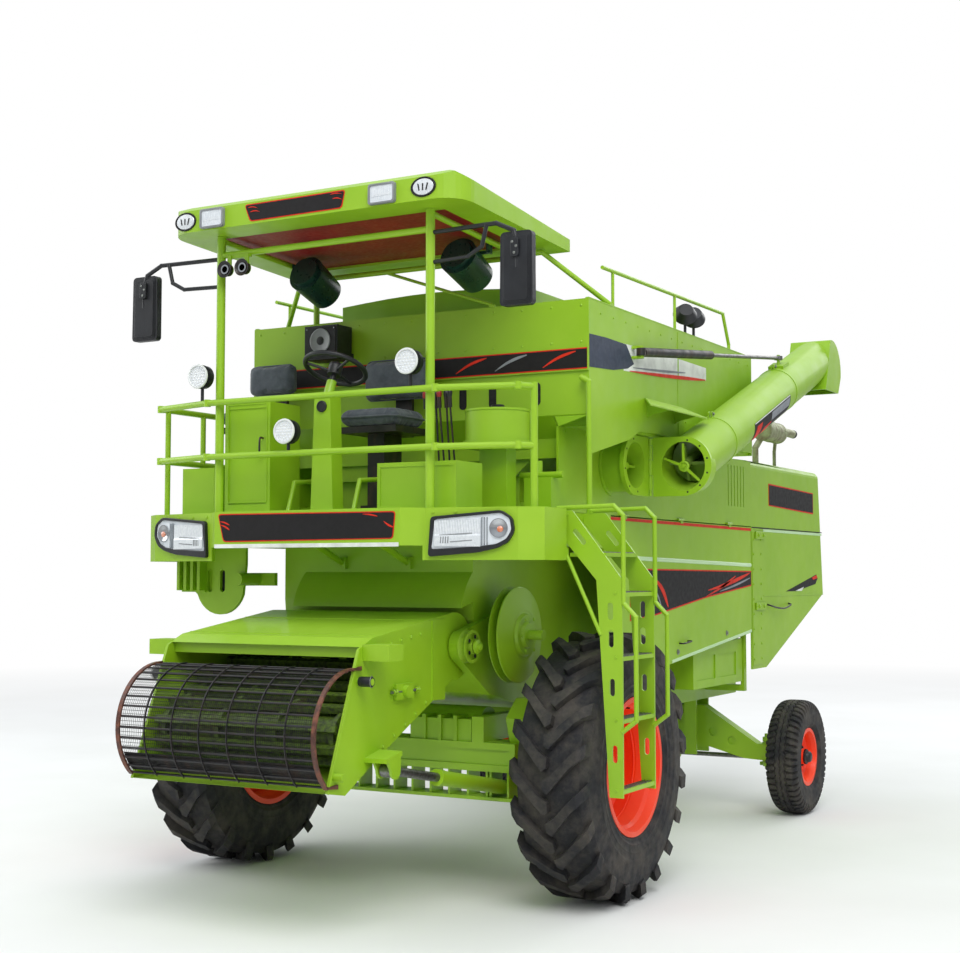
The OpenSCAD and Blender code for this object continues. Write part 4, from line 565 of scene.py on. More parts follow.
# Strokes on the side's black field: width at each end, bow and ink; and where the two front ones run
STROKES = ((0.022, 0.034, -0.012, PRINT_RED), (0.01, 0.024, -0.01, PRINT_RED),
           (0.012, 0.02, -0.006, PRINT_GREY), (0.03, 0.05, 0.03, PRINT_RED), (0.012, 0.02, 0.02, PRINT_GREY))
FRONT_STROKES = (((1.47, 1.86), (1.72, 1.66)), ((1.40, 1.83), (1.60, 1.66)))
FIELD_RIM = np.array([(0.01, -0.01), (-0.01, -0.01), (-0.01, 0.011), (0, 0.011), (0, 0.011), (0.01, 0.01)])
RIB = [(0, 0), (0.006, 0.004), (0.008, 0.014), (0.006, 0.024), (0, 0.03)]
HEM = [(0, 0), (0.005, 0.001), (0.005, 0.020), (0, 0.022)]


def shield_livery(s, tag, shield, line_end, rib_end, field_end, rear_strokes):
    """Side shield: red line on its upper edge, pressed rib in pale green as a painted highlight, black field
    with a red edge and strokes.
    """
    side_print(s, "side_red_line" + tag, [(0.672, 2.243), *line_end, (0.672, 2.263)], PRINT_RED, shield)
    rib = along_path([(SIDE - 0.001, 0.95, 1.986), (SIDE - 0.001, *rib_end)], RIB)
    piece("side_rib" + tag, mirrored(s, rib), PAINTED_HIGHLIGHT, shield)
    field = np.array([(1.06, 1.93), *field_end, (2.44, 1.712), (1.48, 1.606), (1.06, 1.58)])
    side_print(s, "field_edge" + tag, field, PRINT_RED, shield)
    side_print(s, "field_black" + tag, field + FIELD_RIM, PRINT_BLACK, shield, LAYER)
    for i, ((a, b), (*shape, ink)) in enumerate(zip(rear_strokes + FRONT_STROKES, STROKES)):
        side_print(s, "field_stroke%s_%d" % (tag, i), slash(a, b, *shape), ink, shield, 2 * LAYER)


def hood_livery(s, tag, line_start):
    """Hood: framed blank plate, black stroke with its red and white tips, and the line between its halves: a
    dark strip of painted shade over a pale strip of painted highlight.
    """
    plate = [(3.93, 2.64), (5.17, 2.615), (5.17, 2.425), (3.93, 2.455)]
    stroke = [(4.36, 1.742), (5.24, 1.885), (5.28, 1.85), (5.21, 1.80), (4.66, 1.742)]
    for name, outline, ink, lift in (
            ("plate%s_edge", plate, PRINT_RED, 0),
            ("plate%s_face", shrunk(plate, 0.012), PRINT_BLACK, LAYER),
            ("stroke%s", stroke, PRINT_BLACK, 0),
            ("stroke_tip%s", [(5.10, 1.856), (5.24, 1.88), (5.27, 1.852), (5.14, 1.838)], PRINT_RED, LAYER),
            ("stroke_white%s", [(4.62, 1.744), (4.86, 1.776), (4.80, 1.742)], PRINT_WHITE, LAYER),
            ("line%s", rect(line_start, 5.42, 2.262, 2.270), DARK, 0),
            ("line_pale%s", rect(3.78, 5.415, 2.236, 2.258), PAINTED_HIGHLIGHT, 0)):
        side_print(s, "hood_" + name % tag, outline, ink, lift=lift)


def tank_livery(s, tag):
    """Tank's side: a slate and a white field with a red and a grey stroke along them."""
    for name, outline, ink, lift in (
            ("dark", [(-0.045, 3.13), (0.30, 3.15), (0.52, 3.185), (0.62, 3.225), (0.50, 3.335),
                      (0.20, 3.338), (-0.045, 3.33)], PRINT_SLATE, 0),
            ("white", [(0.46, 3.165), (1.0, 3.19), (1.62, 3.23), (1.90, 3.262), (1.90, 3.35), (1.35, 3.352),
                       (0.46, 3.337)], PRINT_WHITE, -0.0012),
            ("red", slash((0.55, 3.172), (1.88, 3.262), 0.018, 0.03, -0.004), PRINT_RED, 0.0016),
            ("grey", slash((0.60, 3.20), (1.50, 3.27), 0.012, 0.02, -0.004), PRINT_GREY, 0.0016)):
        side_print(s, "side_field_%s%s" % (name, tag), outline, ink, lift=lift, x=TANK_SIDE)


# The right side carries the left side's livery in mirror image, as far as its shorter shield goes
shield_livery(1, "", "shield_left", [(3.474, 2.235), (3.474, 2.257)], (3.47, 1.946),
              [(3.474, 1.915), (3.474, 1.795)],
              (((2.50, 1.77), (3.43, 1.898)), ((2.46, 1.725), (3.10, 1.875)), ((2.75, 1.76), (3.44, 1.86))))
shield_livery(-1, "_right", "shield_right", [(3.030, 2.2365), (3.030, 2.2585)], (3.02, 1.952),
              [(3.010, 1.9175), (3.010, 1.755)],
              (((2.30, 1.75), (2.99, 1.892)), ((2.20, 1.72), (2.80, 1.85)), ((2.50, 1.76), (3.00, 1.845))))
# The hem along the shield's lower edge, pale green as the painted highlight of its fold
hem = along_path([(SIDE - 0.001, 1.79, 1.266), (SIDE - 0.001, 3.47, 1.427)], HEM)
piece("side_hem", hem, PAINTED_HIGHLIGHT, "shield_left")
for s, tag, line_start in ((1, "", 3.50), (-1, "_right", 3.78)):
    hood_livery(s, tag, line_start)
    tank_livery(s, tag)

# Bumper: framed blank plate with strokes in its corners, and a white line under it
BUMPER = -1.197
front_frame("bumper_plate", [(-0.619, 2.245), (-0.578, 2.079), (0.601, 2.086), (0.617, 2.239)], BUMPER)
for i, stroke in enumerate((((-0.60, 2.20), (-0.53, 2.178), 0.006, 0.01, 0.004),
                            ((-0.595, 2.18), (-0.53, 2.15), 0.006, 0.012, 0.004),
                            ((0.40, 2.226), (0.50, 2.212), 0.006, 0.01, 0.003),
                            ((0.54, 2.185), (0.603, 2.15), 0.006, 0.014, -0.004))):
    front_print("bumper_stroke_%d" % i, slash(*stroke), BUMPER - 2 * LAYER, PRINT_RED)
line = slab(rect(-0.642, 0.636, 2.044, 2.067), (0, BUMPER - 0.0002, 0), X, Z, 0.0035)
piece("bumper_line", line, PRINT_WHITE, soft=0.001)

# Tank's front: black band with red edges and strokes, and three slots under it
TANK_FRONT = -0.064
front_print("tank_band_red", rect(-1.245, 1.245, 3.118, 3.246), TANK_FRONT, PRINT_RED)
front_print("tank_band", rect(-1.245, 1.245, 3.126, 3.238), TANK_FRONT - LAYER, PRINT_BLACK)
for i, (x, ink) in enumerate(((0.34, PRINT_RED), (0.62, PRINT_GREY), (0.95, PRINT_RED))):
    stroke = slash((x, 3.14), (x + 0.22, 3.226), 0.012, 0.022, 0.012)
    front_print("band_stroke_%d" % i, stroke, TANK_FRONT - 2 * LAYER, ink)
# Each slot is a dark sheet in a dark rim: the painted shade of its opening
for i, x in enumerate((0.383, 0.594, 0.90)):
    hole, at = rounded(0.034, 0.125, 0.0165), (x, -0.05, 2.985)
    rim = ring_slab(rounded(0.050, 0.141, 0.0245), hole, at, X, Z, 0.004)
    piece("tank_slot_%d" % i, together([slab(hole, at, X, Z, 0.0012), rim]), DARK)


# Side sheets

SCREW = [(TIP, 0), (14, 0), (14, 8), (8, 14), (TIP, 15)]
LOCK = [(TIP, 0), (20, 0), (20, 4), (12, 6), (11, 12), (TIP, 13)]


def hood_side(s, side):
    """One side of the hood: bolted post at its front, two catches, a bowed handle and its lower fold."""
    out = (s, 0, 0)
    post = side_sheet(s, rect(3.505, 3.735, 1.16, 2.232), SIDE + 0.002, 0.004)
    piece("hood_post_" + side, post, LIME, soft=0.0015)
    rows = [(s * (SIDE + 0.004), y, z) for y in (3.53, 3.71) for z in np.arange(1.21, 2.2, 0.12)]
    piece("post_bolts_" + side, hex_bolts(rows, out, 9, 6), LIME)
    for k, z in enumerate((2.205, 1.63)):
        plate = side_sheet(s, rect(3.56, 3.80, z - 0.03, z + 0.03), SIDE + 0.013, 0.012)
        screws = turned_at([(s * (SIDE + 0.018), y, z) for y in (3.62, 3.74)], SCREW, out, 20)
        piece("catch_%s_%d" % (side, k), together([plate, screws]), LIME, soft=0.003)
    bow = [(0, 3.87, 1.64), (0.03, 3.88, 1.63), (0.045, 4.02, 1.61), (0.045, 4.20, 1.605), (0.03, 4.40, 1.63),
           (0, 4.42, 1.64)]
    handle = pipe([(s * (SIDE + x), y, z) for x, y, z in bow], 0.007)
    piece("hood_handle_" + side, handle, BLACK, smooth=True)
    fold = [(3.78, 1.708), (5.43, 1.700), (5.43, 1.709), (3.78, 1.717)]
    piece("hood_fold_" + side, side_sheet(s, fold, SIDE + 0.00175, 0.0035), LIME, soft=0.001)


def shield_fittings(s, side):
    """One side shield: its handle and three locks."""
    bow = [(-0.002, 1.93, 1.40), (0.035, 1.94, 1.40), (0.035, 2.08, 1.41), (-0.002, 2.09, 1.41)]
    handle = pipe([(s * (SIDE + x), y, z) for x, y, z in bow], 0.006)
    piece("shield_handle_" + side, handle, BLACK, "shield_" + side, True)
    places = [(s * SIDE, y, z) for y, z in ((1.90, 1.34), (2.9, 1.44), (0.76, 1.30))]
    piece("shield_locks_" + side, turned_at(places, LOCK, (s, 0, 0), 24), ZINC, "shield_" + side, True)


def side_bolts(s, side):
    """Bolts of the bumper's slanted end, which falls back by 0.19 of its width, and of the side's top."""
    rows = [(s * x, -1.100 + (x - 0.744) * 0.190 - 0.0006, 2.232) for x in (0.79, 0.92, 1.05, 1.18)]
    piece("bumper_bolts_" + side, hex_bolts(rows, (s * 0.1868, -0.9824, 0), 8, 5), LIME)
    rows = [(s * SIDE, y, 2.765) for y in np.arange(0.1, 2.9, 0.28)]
    piece("side_bolts_" + side, hex_bolts(rows, (s, 0, 0), 8, 5), LIME)


for s, side in SIDES:
    hood_side(s, side)
    shield_fittings(s, side)
    side_bolts(s, side)

# Sheets behind the two slots of the belt guard; the dark one is the painted shade of the recess
for name, x, finish in (("guard_sheet", -1.080, LIME), ("guard_recess", -0.980, DARK)):
    sheet = slab(rounded(0.064, 0.164, 0.010), (x, -0.6739, 1.850), X, Z, 0.0020)
    piece(name, sheet, finish)


# Canopy: blank oval roundels, framed blank plate, and the square lamps' bezels, glasses and bowls

CANOPY = -1.215


def oval(profile, at):
    """A form turned round -Y, stretched from `at` to the roundel's oval."""
    points, faces = turned(profile, at, -Y)
    return at + (points - at) * (1.22, 1.0, 0.85), faces


for i, (x, z) in enumerate(((-0.874, 4.008), (0.80, 4.014))):
    at = np.array([x, CANOPY, z])
    rim = [(TIP, 0.4), (66, 0.4), (66, 4), (61, 7), (55, 3.5), (TIP, 4.5)]
    piece("roundel_%d" % i, oval(rim, at), PRINT_BLACK, smooth=True)
    piece("roundel_face_%d" % i, oval([(54, 3.6), (52, 6.2), (30, 8.5), (TIP, 9.2)], at), BOWL, smooth=True)
    bars = [[(d - 0.004, -0.020), (d + 0.004, -0.020), (d * 1.4 + 0.005, 0.016), (d * 1.4 - 0.003, 0.020)]
            for d in (-0.022, 0.0, 0.022)]
    bars = together([slab(b, at - Y * 0.0055, X, Z, 0.0048) for b in bars])
    piece("roundel_bars_%d" % i, bars, PRINT_BLACK)
front_frame("canopy_plate", [(-0.43, 4.060), (-0.39, 3.955), (0.262, 3.958), (0.285, 4.063)], CANOPY)
for i, (a, b) in enumerate((((-0.40, 4.040), (-0.33, 4.028)), ((-0.385, 4.012), (-0.315, 4.006)),
                            ((0.185, 4.046), (0.262, 4.040)), ((0.20, 4.020), (0.265, 4.008)))):
    front_print("canopy_plate_stroke_%d" % i, slash(a, b, 0.008, 0.003, 0.006), CANOPY - 0.0035, PRINT_RED)
for i, x in enumerate((-0.663, 0.537)):
    at = np.array([x, CANOPY, 4.007])
    bezel = ring_slab(rounded(0.174, 0.116, 0.014), rounded(0.150, 0.094, 0.010), at + Y * 0.001, X, Z, 0.026)
    piece("roof_lamp_bezel_%d" % i, bezel, GREY_PLASTIC, soft=0.002)
    piece("roof_lamp_glass_%d" % i, slab(rounded(0.151, 0.095, 0.010), at - Y * 0.014, X, Z, 0.004), LENS)
    at = at - Y * 0.0175
    flutes = [slab(rect(d, d + 0.008, -0.035, 0.037), at, X, Z, 0.0014)
              for d in np.arange(10) * 0.0128 - 0.060]
    shelf = slab([(-0.062, -0.017), (0.062, -0.011), (0.062, 0.005), (-0.062, -0.001)], at, X, Z, 0.0026)
    piece("roof_lamp_bowl_%d" % i, together(flutes + [shelf]), BOWL)


# Lamps, mirrors, horns and speaker

LAMP_TURN = math.atan2(100, 526)        # The headlights look outwards by the bumper's slant
LAMP_OUTER = [(-0.243, -0.124), (0.045, -0.1015), (0.155, -0.0777), (0.217, -0.047), (0.2533, 0.0134),
              (0.2417, 0.0853), (0.177, 0.128), (-0.228, 0.0955)]
LAMP_INNER = [(-0.2245, -0.082), (0.040, -0.070), (0.150, -0.056), (0.207, -0.028), (0.236, 0.018),
              (0.227, 0.080), (0.175, 0.112), (-0.205, 0.0805)]


def lamp_bowl(at, u, out):
    """The headlight's bright bowl over (a, b) = (across, up), with its back flat at 12.5 mm.

    Its height is a shallow parabola across, less a smooth step of 4 mm (the shelf) at b = -4 mm, plus flutes
    0.0013 cos(2 pi (a + 0.1 b) / 15.5 mm) that fade out below the shelf.
    """
    a, b = np.meshgrid(np.linspace(-0.205, 0.060, 150), np.linspace(-0.066, 0.078, 40), indexing="ij")
    flute = 0.0013 * np.cos(2 * np.pi * (a + 0.10 * b) / 0.0155) * np.clip(b / 0.03 + 0.3, 0, 1)
    shelf = -0.0040 / (1 + np.exp(-(b + 0.004) / 0.0015))
    height = 0.0188 + 0.005 * ((a + 0.075) / 0.14) ** 2 + shelf + flute
    z = b * (1 + 0.22 * (a + 0.07)) - 0.002
    flat = a[..., None] * u + z[..., None] * Z
    return shell(at + out * height[..., None] + flat, at + out * 0.0125 + flat)


def headlight(s, side):
    """The front lamp of one side: rubber frame, bright bowl with bars, and an amber bulb in a round bowl."""
    u = np.array([s * math.cos(LAMP_TURN), math.sin(LAMP_TURN), 0])
    out = np.array([s * math.sin(LAMP_TURN), -math.cos(LAMP_TURN), 0])
    at = np.array([s * 1.007, -1.050, 2.112])

    def bar(points, lift, depth):
        """A slab on the lamp's face, by its outline, how far it stands out and how deep it is."""
        return slab(points, at + out * lift, u, Z, s * depth)

    outer, inner = corners(LAMP_OUTER, 0.022), corners(LAMP_INNER, 0.015)
    rim = ring_slab(outer, inner, at - out * 0.004, u, Z, s * 0.026)
    piece("headlight_frame_" + side, rim, PLASTIC, soft=0.003)
    piece("headlight_glass_" + side, bar(inner, 0.0105, 0.0014), LENS)
    piece("headlight_bowl_" + side, lamp_bowl(at, u, out), BOWL, smooth=True)
    slots = [bar([(x, -0.050), (x + 0.006, -0.050), (x + 0.008, -0.014), (x + 0.003, -0.014)], 0.014, 0.0075)
             for x in (-0.186, -0.172, -0.158, -0.144, -0.130)]
    slots.append(bar([(-0.178, -0.0075), (0.012, 0.002), (0.012, 0.0055), (-0.178, -0.004)], 0.014, 0.0058))
    slots.append(bar([(-0.115, -0.046), (0.030, -0.036), (0.030, -0.031), (-0.115, -0.041)], 0.014, 0.0068))
    piece("headlight_slots_" + side, together(slots), GREY_PLASTIC)
    ribs = [bar([(x, -0.062), (x + 0.005, -0.061), (x + 0.005, 0.090), (x, 0.089)], 0.012, 0.008)
            for x in (0.066, 0.080, 0.096)]
    piece("headlight_ribs_" + side, together(ribs), CHROME)
    at = at + out * 0.0125 + u * 0.163 + Z * 0.030
    dish = turned([(52, 0), (52, 7.5), (47, 7.5), (30, 2.2), (TIP, 1.6)], at, out, 40)
    piece("indicator_" + side, dish, CHROME, smooth=True)
    bulb = turned([(17, 1), (16.5, 6), (11, 10.5), (TIP, 12.5)], at + u * 0.008 - Z * 0.006, out, 24)
    piece("indicator_bulb_" + side, bulb, AMBER, smooth=True)


def work_lamp(name, at):
    """A round work lamp: a rim, a face with rings of small round lenses, and fins behind it."""
    rim = [(58, -2), (72, -2), (74.5, 4), (72, 11), (64, 12), (61, 4)]
    piece(name + "_rim", turned(rim, at, -Y), WHITE_PLASTIC, smooth=True)
    face = turned([(62.5, 0), (62.5, 3.5), (TIP, 3.5)], at, -Y)
    piece(name + "_face", face, GREY_PLASTIC)
    spots = [at]
    for r, n in ((0.019, 6), (0.038, 12), (0.0535, 18)):
        spots += around(at, r, turn(n), X, Z)
    dome = [(7.2, 3.3), (6.2, 5.5), (3.5, 6.8), (0.4, 7.2)]
    piece(name + "_lenses", turned_at(spots, dome, -Y, 12), BOWL, smooth=True)
    fins = [turned([(60, d), (72.5, d + 1), (72.5, d + 3), (60, d + 4)], at, Y, 40) for d in (6, 14, 22, 30)]
    piece(name + "_fins", together(fins), PLASTIC)


def mirror(s, side):
    """An outside mirror: glass in a rim, a crowned back of three steps, and a clamp with three screws."""
    at = np.array([s * 1.305, 0, 3.5375])
    rim = ring_slab(rounded(0.192, 0.403, 0.024), rounded(0.172, 0.383, 0.018), at - Y * 1.0440, -X, Z, 0.006)
    piece("mirror_rim_" + side, rim, PLASTIC, soft=0.002)
    piece("mirror_glass_" + side, slab(rounded(0.171, 0.382, 0.018), at - Y * 1.0440, -X, Z, 0.003), MIRROR)
    back = [slab(rounded(0.17 - k * 0.012, 0.38 - k * 0.014, 0.02), at - Y * (1.084 + k * 0.003), X, Z, 0.003)
            for k in range(3)]
    piece("mirror_back_" + side, together(back), PLASTIC, soft=0.0015)
    clamp = slab(rounded(0.05, 0.10, 0.012, 5), at + (0, -1.0930, 0.11), X, Z, 0.014)
    piece("mirror_clamp_" + side, clamp, PLASTIC, soft=0.003)
    screws = [at + (x, -1.1070, z) for x, z in ((0, 0.08), (0.012, 0.115), (-0.012, 0.14))]
    piece("mirror_screws_" + side, hex_bolts(screws, -Y, 6, 4), ZINC)


def horn(i, at):
    """A horn: a flared mouth with three grille rings in it."""
    mouth = [(TIP, -34), (28, -34), (37, -28), (40, -4), (50, 10), (51.5, 16), (47, 16), (34, 4), (TIP, 0)]
    piece("horn_%d" % i, turned(mouth, at, -Y, 40), BLACK, smooth=True)
    rings = [turned(rect(r, r + 3, 5.5, 9.5), at, -Y, 30) for r in (8, 17, 26)]
    piece("horn_grille_%d" % i, together(rings), CHROME)


def tank_lamp(i, at):
    """The rim and the glass of a lamp on the tank's edge, which looks back into the tank."""
    aim = (-0.4415, 0.7646, -0.4695)
    rim = [(62, 0), (80, 0), (83.5, 6), (80, 12), (70, 11), (66, 4)]
    piece("tank_lamp_%d" % i, turned(rim, at, aim, 40), PLASTIC, smooth=True)
    glass = turned([(69, 1), (69, 5), (40, 9), (TIP, 11)], at, aim, 40)
    piece("tank_lamp_glass_%d" % i, glass, LENS, smooth=True)


def speaker(at):
    """The speaker's cloth front with four bolts, and its ring and cone a little over its middle."""
    piece("speaker_front", slab(rounded(0.235, 0.20, 0.012, 5), at, X, Z, 0.006), GRILLE, soft=0.002)
    bolts = [at + (a * 0.105, -0.006, b * 0.088) for a in (-1, 1) for b in (-1, 1)]
    piece("speaker_bolts", hex_bolts(bolts, -Y, 5, 3, False), CHROME)
    at = at + Z * 0.010
    ring = turned([(66, 5), (78, 5), (80, 10), (74, 12), (68, 8)], at, -Y)
    piece("speaker_ring", ring, GREY_PLASTIC, smooth=True)
    cone = turned([(67, 5.5), (67, 8), (30, 6.6), (24, 11), (TIP, 14)], at, -Y)
    piece("speaker_cone", cone, GRILLE, smooth=True)


for s, side in SIDES:
    headlight(s, side)
    mirror(s, side)
work_lamp("work_lamp_right", (-0.850, -1.1125, 3.083))
work_lamp("work_lamp_middle", (-0.195, -1.1255, 2.720))
work_lamp("work_lamp_left", (0.640, -1.1255, 3.074))
for i, x in enumerate((-0.66, -0.53)):
    horn(i, (x, -1.100, 3.718))
for i, y in enumerate((1.540, 1.700)):
    tank_lamp(i, (1.237, y, 3.680))
speaker(np.array([-0.5675, -0.2402, 3.385]))


# Wheels

DRIVE = np.array([1.305, 0, 0.775])         # Middle of the left drive tyre
STEER = np.array([1.320, 3.650, 0.445])     # Middle of the left steering tyre
# One wall of a drive tyre from its bead outwards: bead, step at the widest place, and two fine circles
DRIVE_WALL = [(406, 203.5), (413.5, 210.8), (421.5, 213.5), (429, 212), (433, 215.8), (444.5, 226.2),
              (449, 226.2), (454, 224.3), (484, 226.8), (487, 229), (493, 229), (496, 227.4), (528, 230.2),
              (532, 232.8), (544, 233.2), (550, 232.6), (550, 228), (440, 218), (406, 199)]
# One wall of a steering tyre from its bead to its shoulder, in metres
STEER_WALL = [(0.2103, -0.091), (0.2264, -0.091), (0.2350, -0.1030), (0.2600, -0.1170), (0.2660, -0.1206),
              (0.2720, -0.1206), (0.2760, -0.1198), (0.3200, -0.1250), (0.3500, -0.1247), (0.3720, -0.1235),
              (0.3800, -0.1246), (0.3950, -0.1232), (0.4060, -0.1205), (0.4160, -0.1160), (0.4250, -0.1090),
              (0.4320, -0.0990)]


def triangle_wave(v):
    """A wave between -1 and 1 with straight sides and a period of 1."""
    return np.abs((v % 1) * 2 - 1) * 2 - 1


def groove(distance, half):
    """1 inside half of a groove's width from its middle line, falling to 0 over 2.2 mm before its edge."""
    return np.clip((half - np.abs(distance)) / 0.0022, 0, 1)


def steer_tyre(s, side):
    """A steering tyre as one surface over (angle, place on its closed profile).

    The tread's crown is 9 mm x (1 - (x / 90 mm) ^ 4). Three zigzag grooves 10 mm deep run round it, and cross
    grooves up to 17 mm deep cut its shoulders into blocks; each is a smooth step inwards.
    """
    count, top, blocks = 416, STEER[2], 52
    tread = [(0.4360 + 0.009 * (1 - (abs(x) / 0.0900) ** 4), x) for x in np.linspace(-0.0900, 0.0900, 47)]
    profile = np.array(STEER_WALL + tread + [(r, -x) for r, x in STEER_WALL[::-1]])
    t = turn(count)[:, None]
    r, x = profile[:, 0] + 0 * t, profile[:, 1] + 0 * t
    block = t / (2 * np.pi) * blocks
    zigzag = 0.0065 * triangle_wave(block)
    round_cut = np.maximum.reduce([groove(x - c - zigzag, 0.0052) for c in (-0.040, 0.0, 0.040)])
    across = (block % 1 - 0.5) * 2 * np.pi * top / blocks
    shoulder = groove(across - 0.12 * (np.abs(x) - 0.052), 0.0100) * (np.abs(x) > 0.044)
    deep = 0.017 * shoulder * np.clip((r - 0.37) / 0.05, 0, 1)
    on_wall = np.clip((np.abs(x) - 0.085) / 0.03, 0, 1) * np.clip((r - 0.372) / 0.012, 0, 1)
    x = x - np.sign(x) * 0.016 * shoulder * on_wall
    r = np.minimum(r, top) - np.maximum(0.010 * round_cut, deep) * (r > 0.375)
    points = np.stack([x * s, r * np.cos(t), r * np.sin(t)], -1) + STEER * (s, 1, 1)
    form = facing_out(points.reshape(-1, 3), grid_faces(count, len(profile), True, True))
    tyre = piece("steer_tyre_" + side, form, RUBBER, "wheel_rear_" + side, True)
    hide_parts("tyre_rear_" + side)


def drive_wheel(s, side):
    """Rings on a drive tyre's walls; hub cap with screws, nuts on the studs, weld bead and valve."""
    out, at, body = (s, 0, 0), DRIVE * (s, 1, 1), "wheel_front_" + side
    for face, way in ((-1, "in"), (1, "out")):
        wall = hoop(DRIVE_WALL, at, (s * face, 0, 0), 96)
        piece("drive_wall_%s_%s" % (side, way), wall, RUBBER, body, True)
    cap = [(TIP, 18), (88, 18), (88, 26), (70, 30), (60, 52), (52, 60), (TIP, 64)]
    piece("hub_cap_" + side, turned(cap, at, out), ORANGE, body, True)
    screws = around(at + X * s * 0.0265, 0.078, turn(6))
    piece("hub_screws_" + side, hex_bolts(screws, out, 7, 5), ZINC, body)
    nut = [(TIP, -43.5), (23, -43.5), (23, -38.5), (17.5, -38.5), (16.5, -20), (10.5, -19), (10.5, -6),
           (TIP, -5)]
    piece("wheel_nuts_" + side, turned_at(around(at, 0.140, turn(8)), nut, out, 12), ZINC, body)
    piece("rim_weld_" + side, hoop(disc(6, 8) + (322.8, 56), at, out, 96), ORANGE, body, True)
    valve = pipe([at + (s * x, 0, z) for x, z in ((0.12, 0.345), (0.145, 0.338), (0.175, 0.336))], 0.005)
    piece("rim_valve_" + side, valve, PLASTIC, body, True)


def steer_hub(s, side):
    """The hub and the six nuts of a steering wheel's rim."""
    out, at, body = (s, 0, 0), STEER * (s, 1, 1), "wheel_rear_" + side
    hub = [(TIP, 70), (60, 70), (60, 84), (46, 92), (40, 112), (30, 120), (TIP, 122)]
    piece("steer_hub_" + side, turned(hub, at, out, 36), PLASTIC, body, True)
    nut = [(TIP, 15.5), (19, 15.5), (19, 20), (14, 21), (13.5, 36), (8.5, 37), (8.5, 44), (TIP, 45)]
    piece("steer_nuts_" + side, turned_at(around(at, 0.078, turn(6)), nut, out, 12), PLASTIC, body)


for s, side in SIDES:
    drive_wheel(s, side)
    steer_tyre(s, side)
    steer_hub(s, side)


# Feeder house and drum screen

SCREEN = np.array([0, -1.655, 1.065])           # Middle of the drum screen
SCREEN_PIN = np.array([0, -1.600, 1.336])       # The pin that it hangs on
PULLEY = np.array([0.7885, -0.600, 1.478])      # Outer end of the feeder's shaft
WIRE = 0.0013                                   # Half the width of a wire


def round_wire(x):
    """A wire round the screen at x: a square on its corner along an arc of radius 0.3225."""
    t = np.radians(np.linspace(90.5, 227, 26))
    spoke = np.c_[np.zeros(len(t)), np.cos(t), np.sin(t)]
    ring = SCREEN + X * x + 0.3225 * spoke
    points = np.stack([ring + spoke * WIRE, ring + X * WIRE, ring - spoke * WIRE, ring - X * WIRE], 1)
    return facing_out(points.reshape(-1, 3), grid_faces(len(t), 4, False, True) + end_caps(len(t), 4))


def long_wire(angle):
    """A straight wire along the screen at one angle: a square on its corner."""
    spoke = np.array([0, math.cos(angle), math.sin(angle)])
    along = np.cross(X, spoke)
    c = SCREEN + spoke * 0.3247
    points = [c + X * x + d * WIRE for x in (-0.644, 0.644) for d in (spoke, along, -spoke, -along)]
    return facing_out(points, grid_faces(2, 4, False, True) + end_caps(2, 4))


def feeder_side(s, side):
    """One wall of the feeder: the screen's sleeve and pin clip, two rows of bolts and the mouth's lip."""
    out, pin = (s, 0, 0), SCREEN_PIN + X * s * 0.657
    sleeve = [(18.3, 0), (26, 0), (27, 6), (27, 70), (25, 76), (18.3, 76)]
    piece("screen_sleeve_" + side, turned(sleeve, pin, out, 28), PLASTIC, "feeder", True)
    clip = hoop(disc(2.2, 8) + (30, 0), pin + X * s * 0.071, (s, 0.3, 0), 24)
    piece("pin_clip_" + side, clip, ZINC, "feeder", True)
    rows = [(s * 0.6452, y, 1.612 + (y + 0.60) * 0.137) for y in np.arange(-1.38, -0.95, 0.10)]
    rows += [(s * 0.6452, y, 0.955 + (y + 1.40) * 0.46) for y in np.arange(-1.36, -0.92, 0.11)]
    piece("feeder_bolts_" + side, hex_bolts(rows, out, 10, 7), LIME, "feeder")
    lip = [(-1.600, 1.500), (-1.880, 0.790), (-1.866, 0.785), (-1.586, 1.495)]
    piece("mouth_lip_" + side, side_sheet(s, lip, 0.6475, 0.005), LIME, "feeder", soft=0.0012)


wires = [round_wire(x) for x in np.arange(-0.640, 0.641, 0.0131)]
wires += [long_wire(a) for a in np.radians(np.arange(91, 227.5, 3.4))]
piece("screen_mesh", together(wires), BLACK, "feeder")
# Bottom sheet inside the lower part of the screen
t = np.radians(np.linspace(204, 226, 12))
sheet, back = (np.c_[r * np.cos(t), r * np.sin(t)] for r in (0.3185, 0.3155))
sheet = slab(np.vstack([sheet, back[::-1]]), SCREEN - X * 0.640, Y, Z, 1.280)
piece("screen_sheet", sheet, BLACK, "feeder")
for s, side in SIDES:
    feeder_side(s, side)
# Chain adjuster and the pulley's cap and holes on the left wall
rod = pipe([(0.660, y, 1.258) for y in (-1.30, -1.24, -1.10, -1.02)], 0.009, 12, 2)
piece("chain_rod", rod, ZINC, "feeder", True)
nuts = turned_at([(0.660, y, 1.258) for y in (-1.29, -1.268, -1.060, -1.038)],
                 [(TIP, 0), (17, 0), (17, 14), (TIP, 15)], Y, 6)
piece("chain_nuts", nuts, LIME, "feeder")
cap = [(TIP, 0), (41, 0), (41, 12), (30, 18), (18, 20), (18, 34), (TIP, 36)]
piece("feeder_cap", turned(cap, PULLEY, X, 24), LIME, "feeder", True)
# Dark discs for the pulley's holes: their painted shade
holes = turned_at(around(PULLEY - X * 0.0197, 0.058, turn(5)), rect(TIP, 12, 0, 1.4), X, 18)
piece("feeder_pulley_holes", holes, DARK, "feeder")
# Seams across the feeder's top, which rises by 0.1376 to the back
for i, y in enumerate((-1.405, -0.90)):
    at = (0, y, 1.555 + (y + 1.47) * 0.1376 - 0.001)
    seam = slab(rect(-0.640, 0.640, -0.006, 0.006), at, X, np.array([0, 0.9907, 0.1363]), 0.004)
    piece("feeder_seam_%d" % i, seam, LIME, "feeder", soft=0.001)


# Unloader: blank print, bands and seam of the tube, holes of the two flanges, and the spider in its mouth

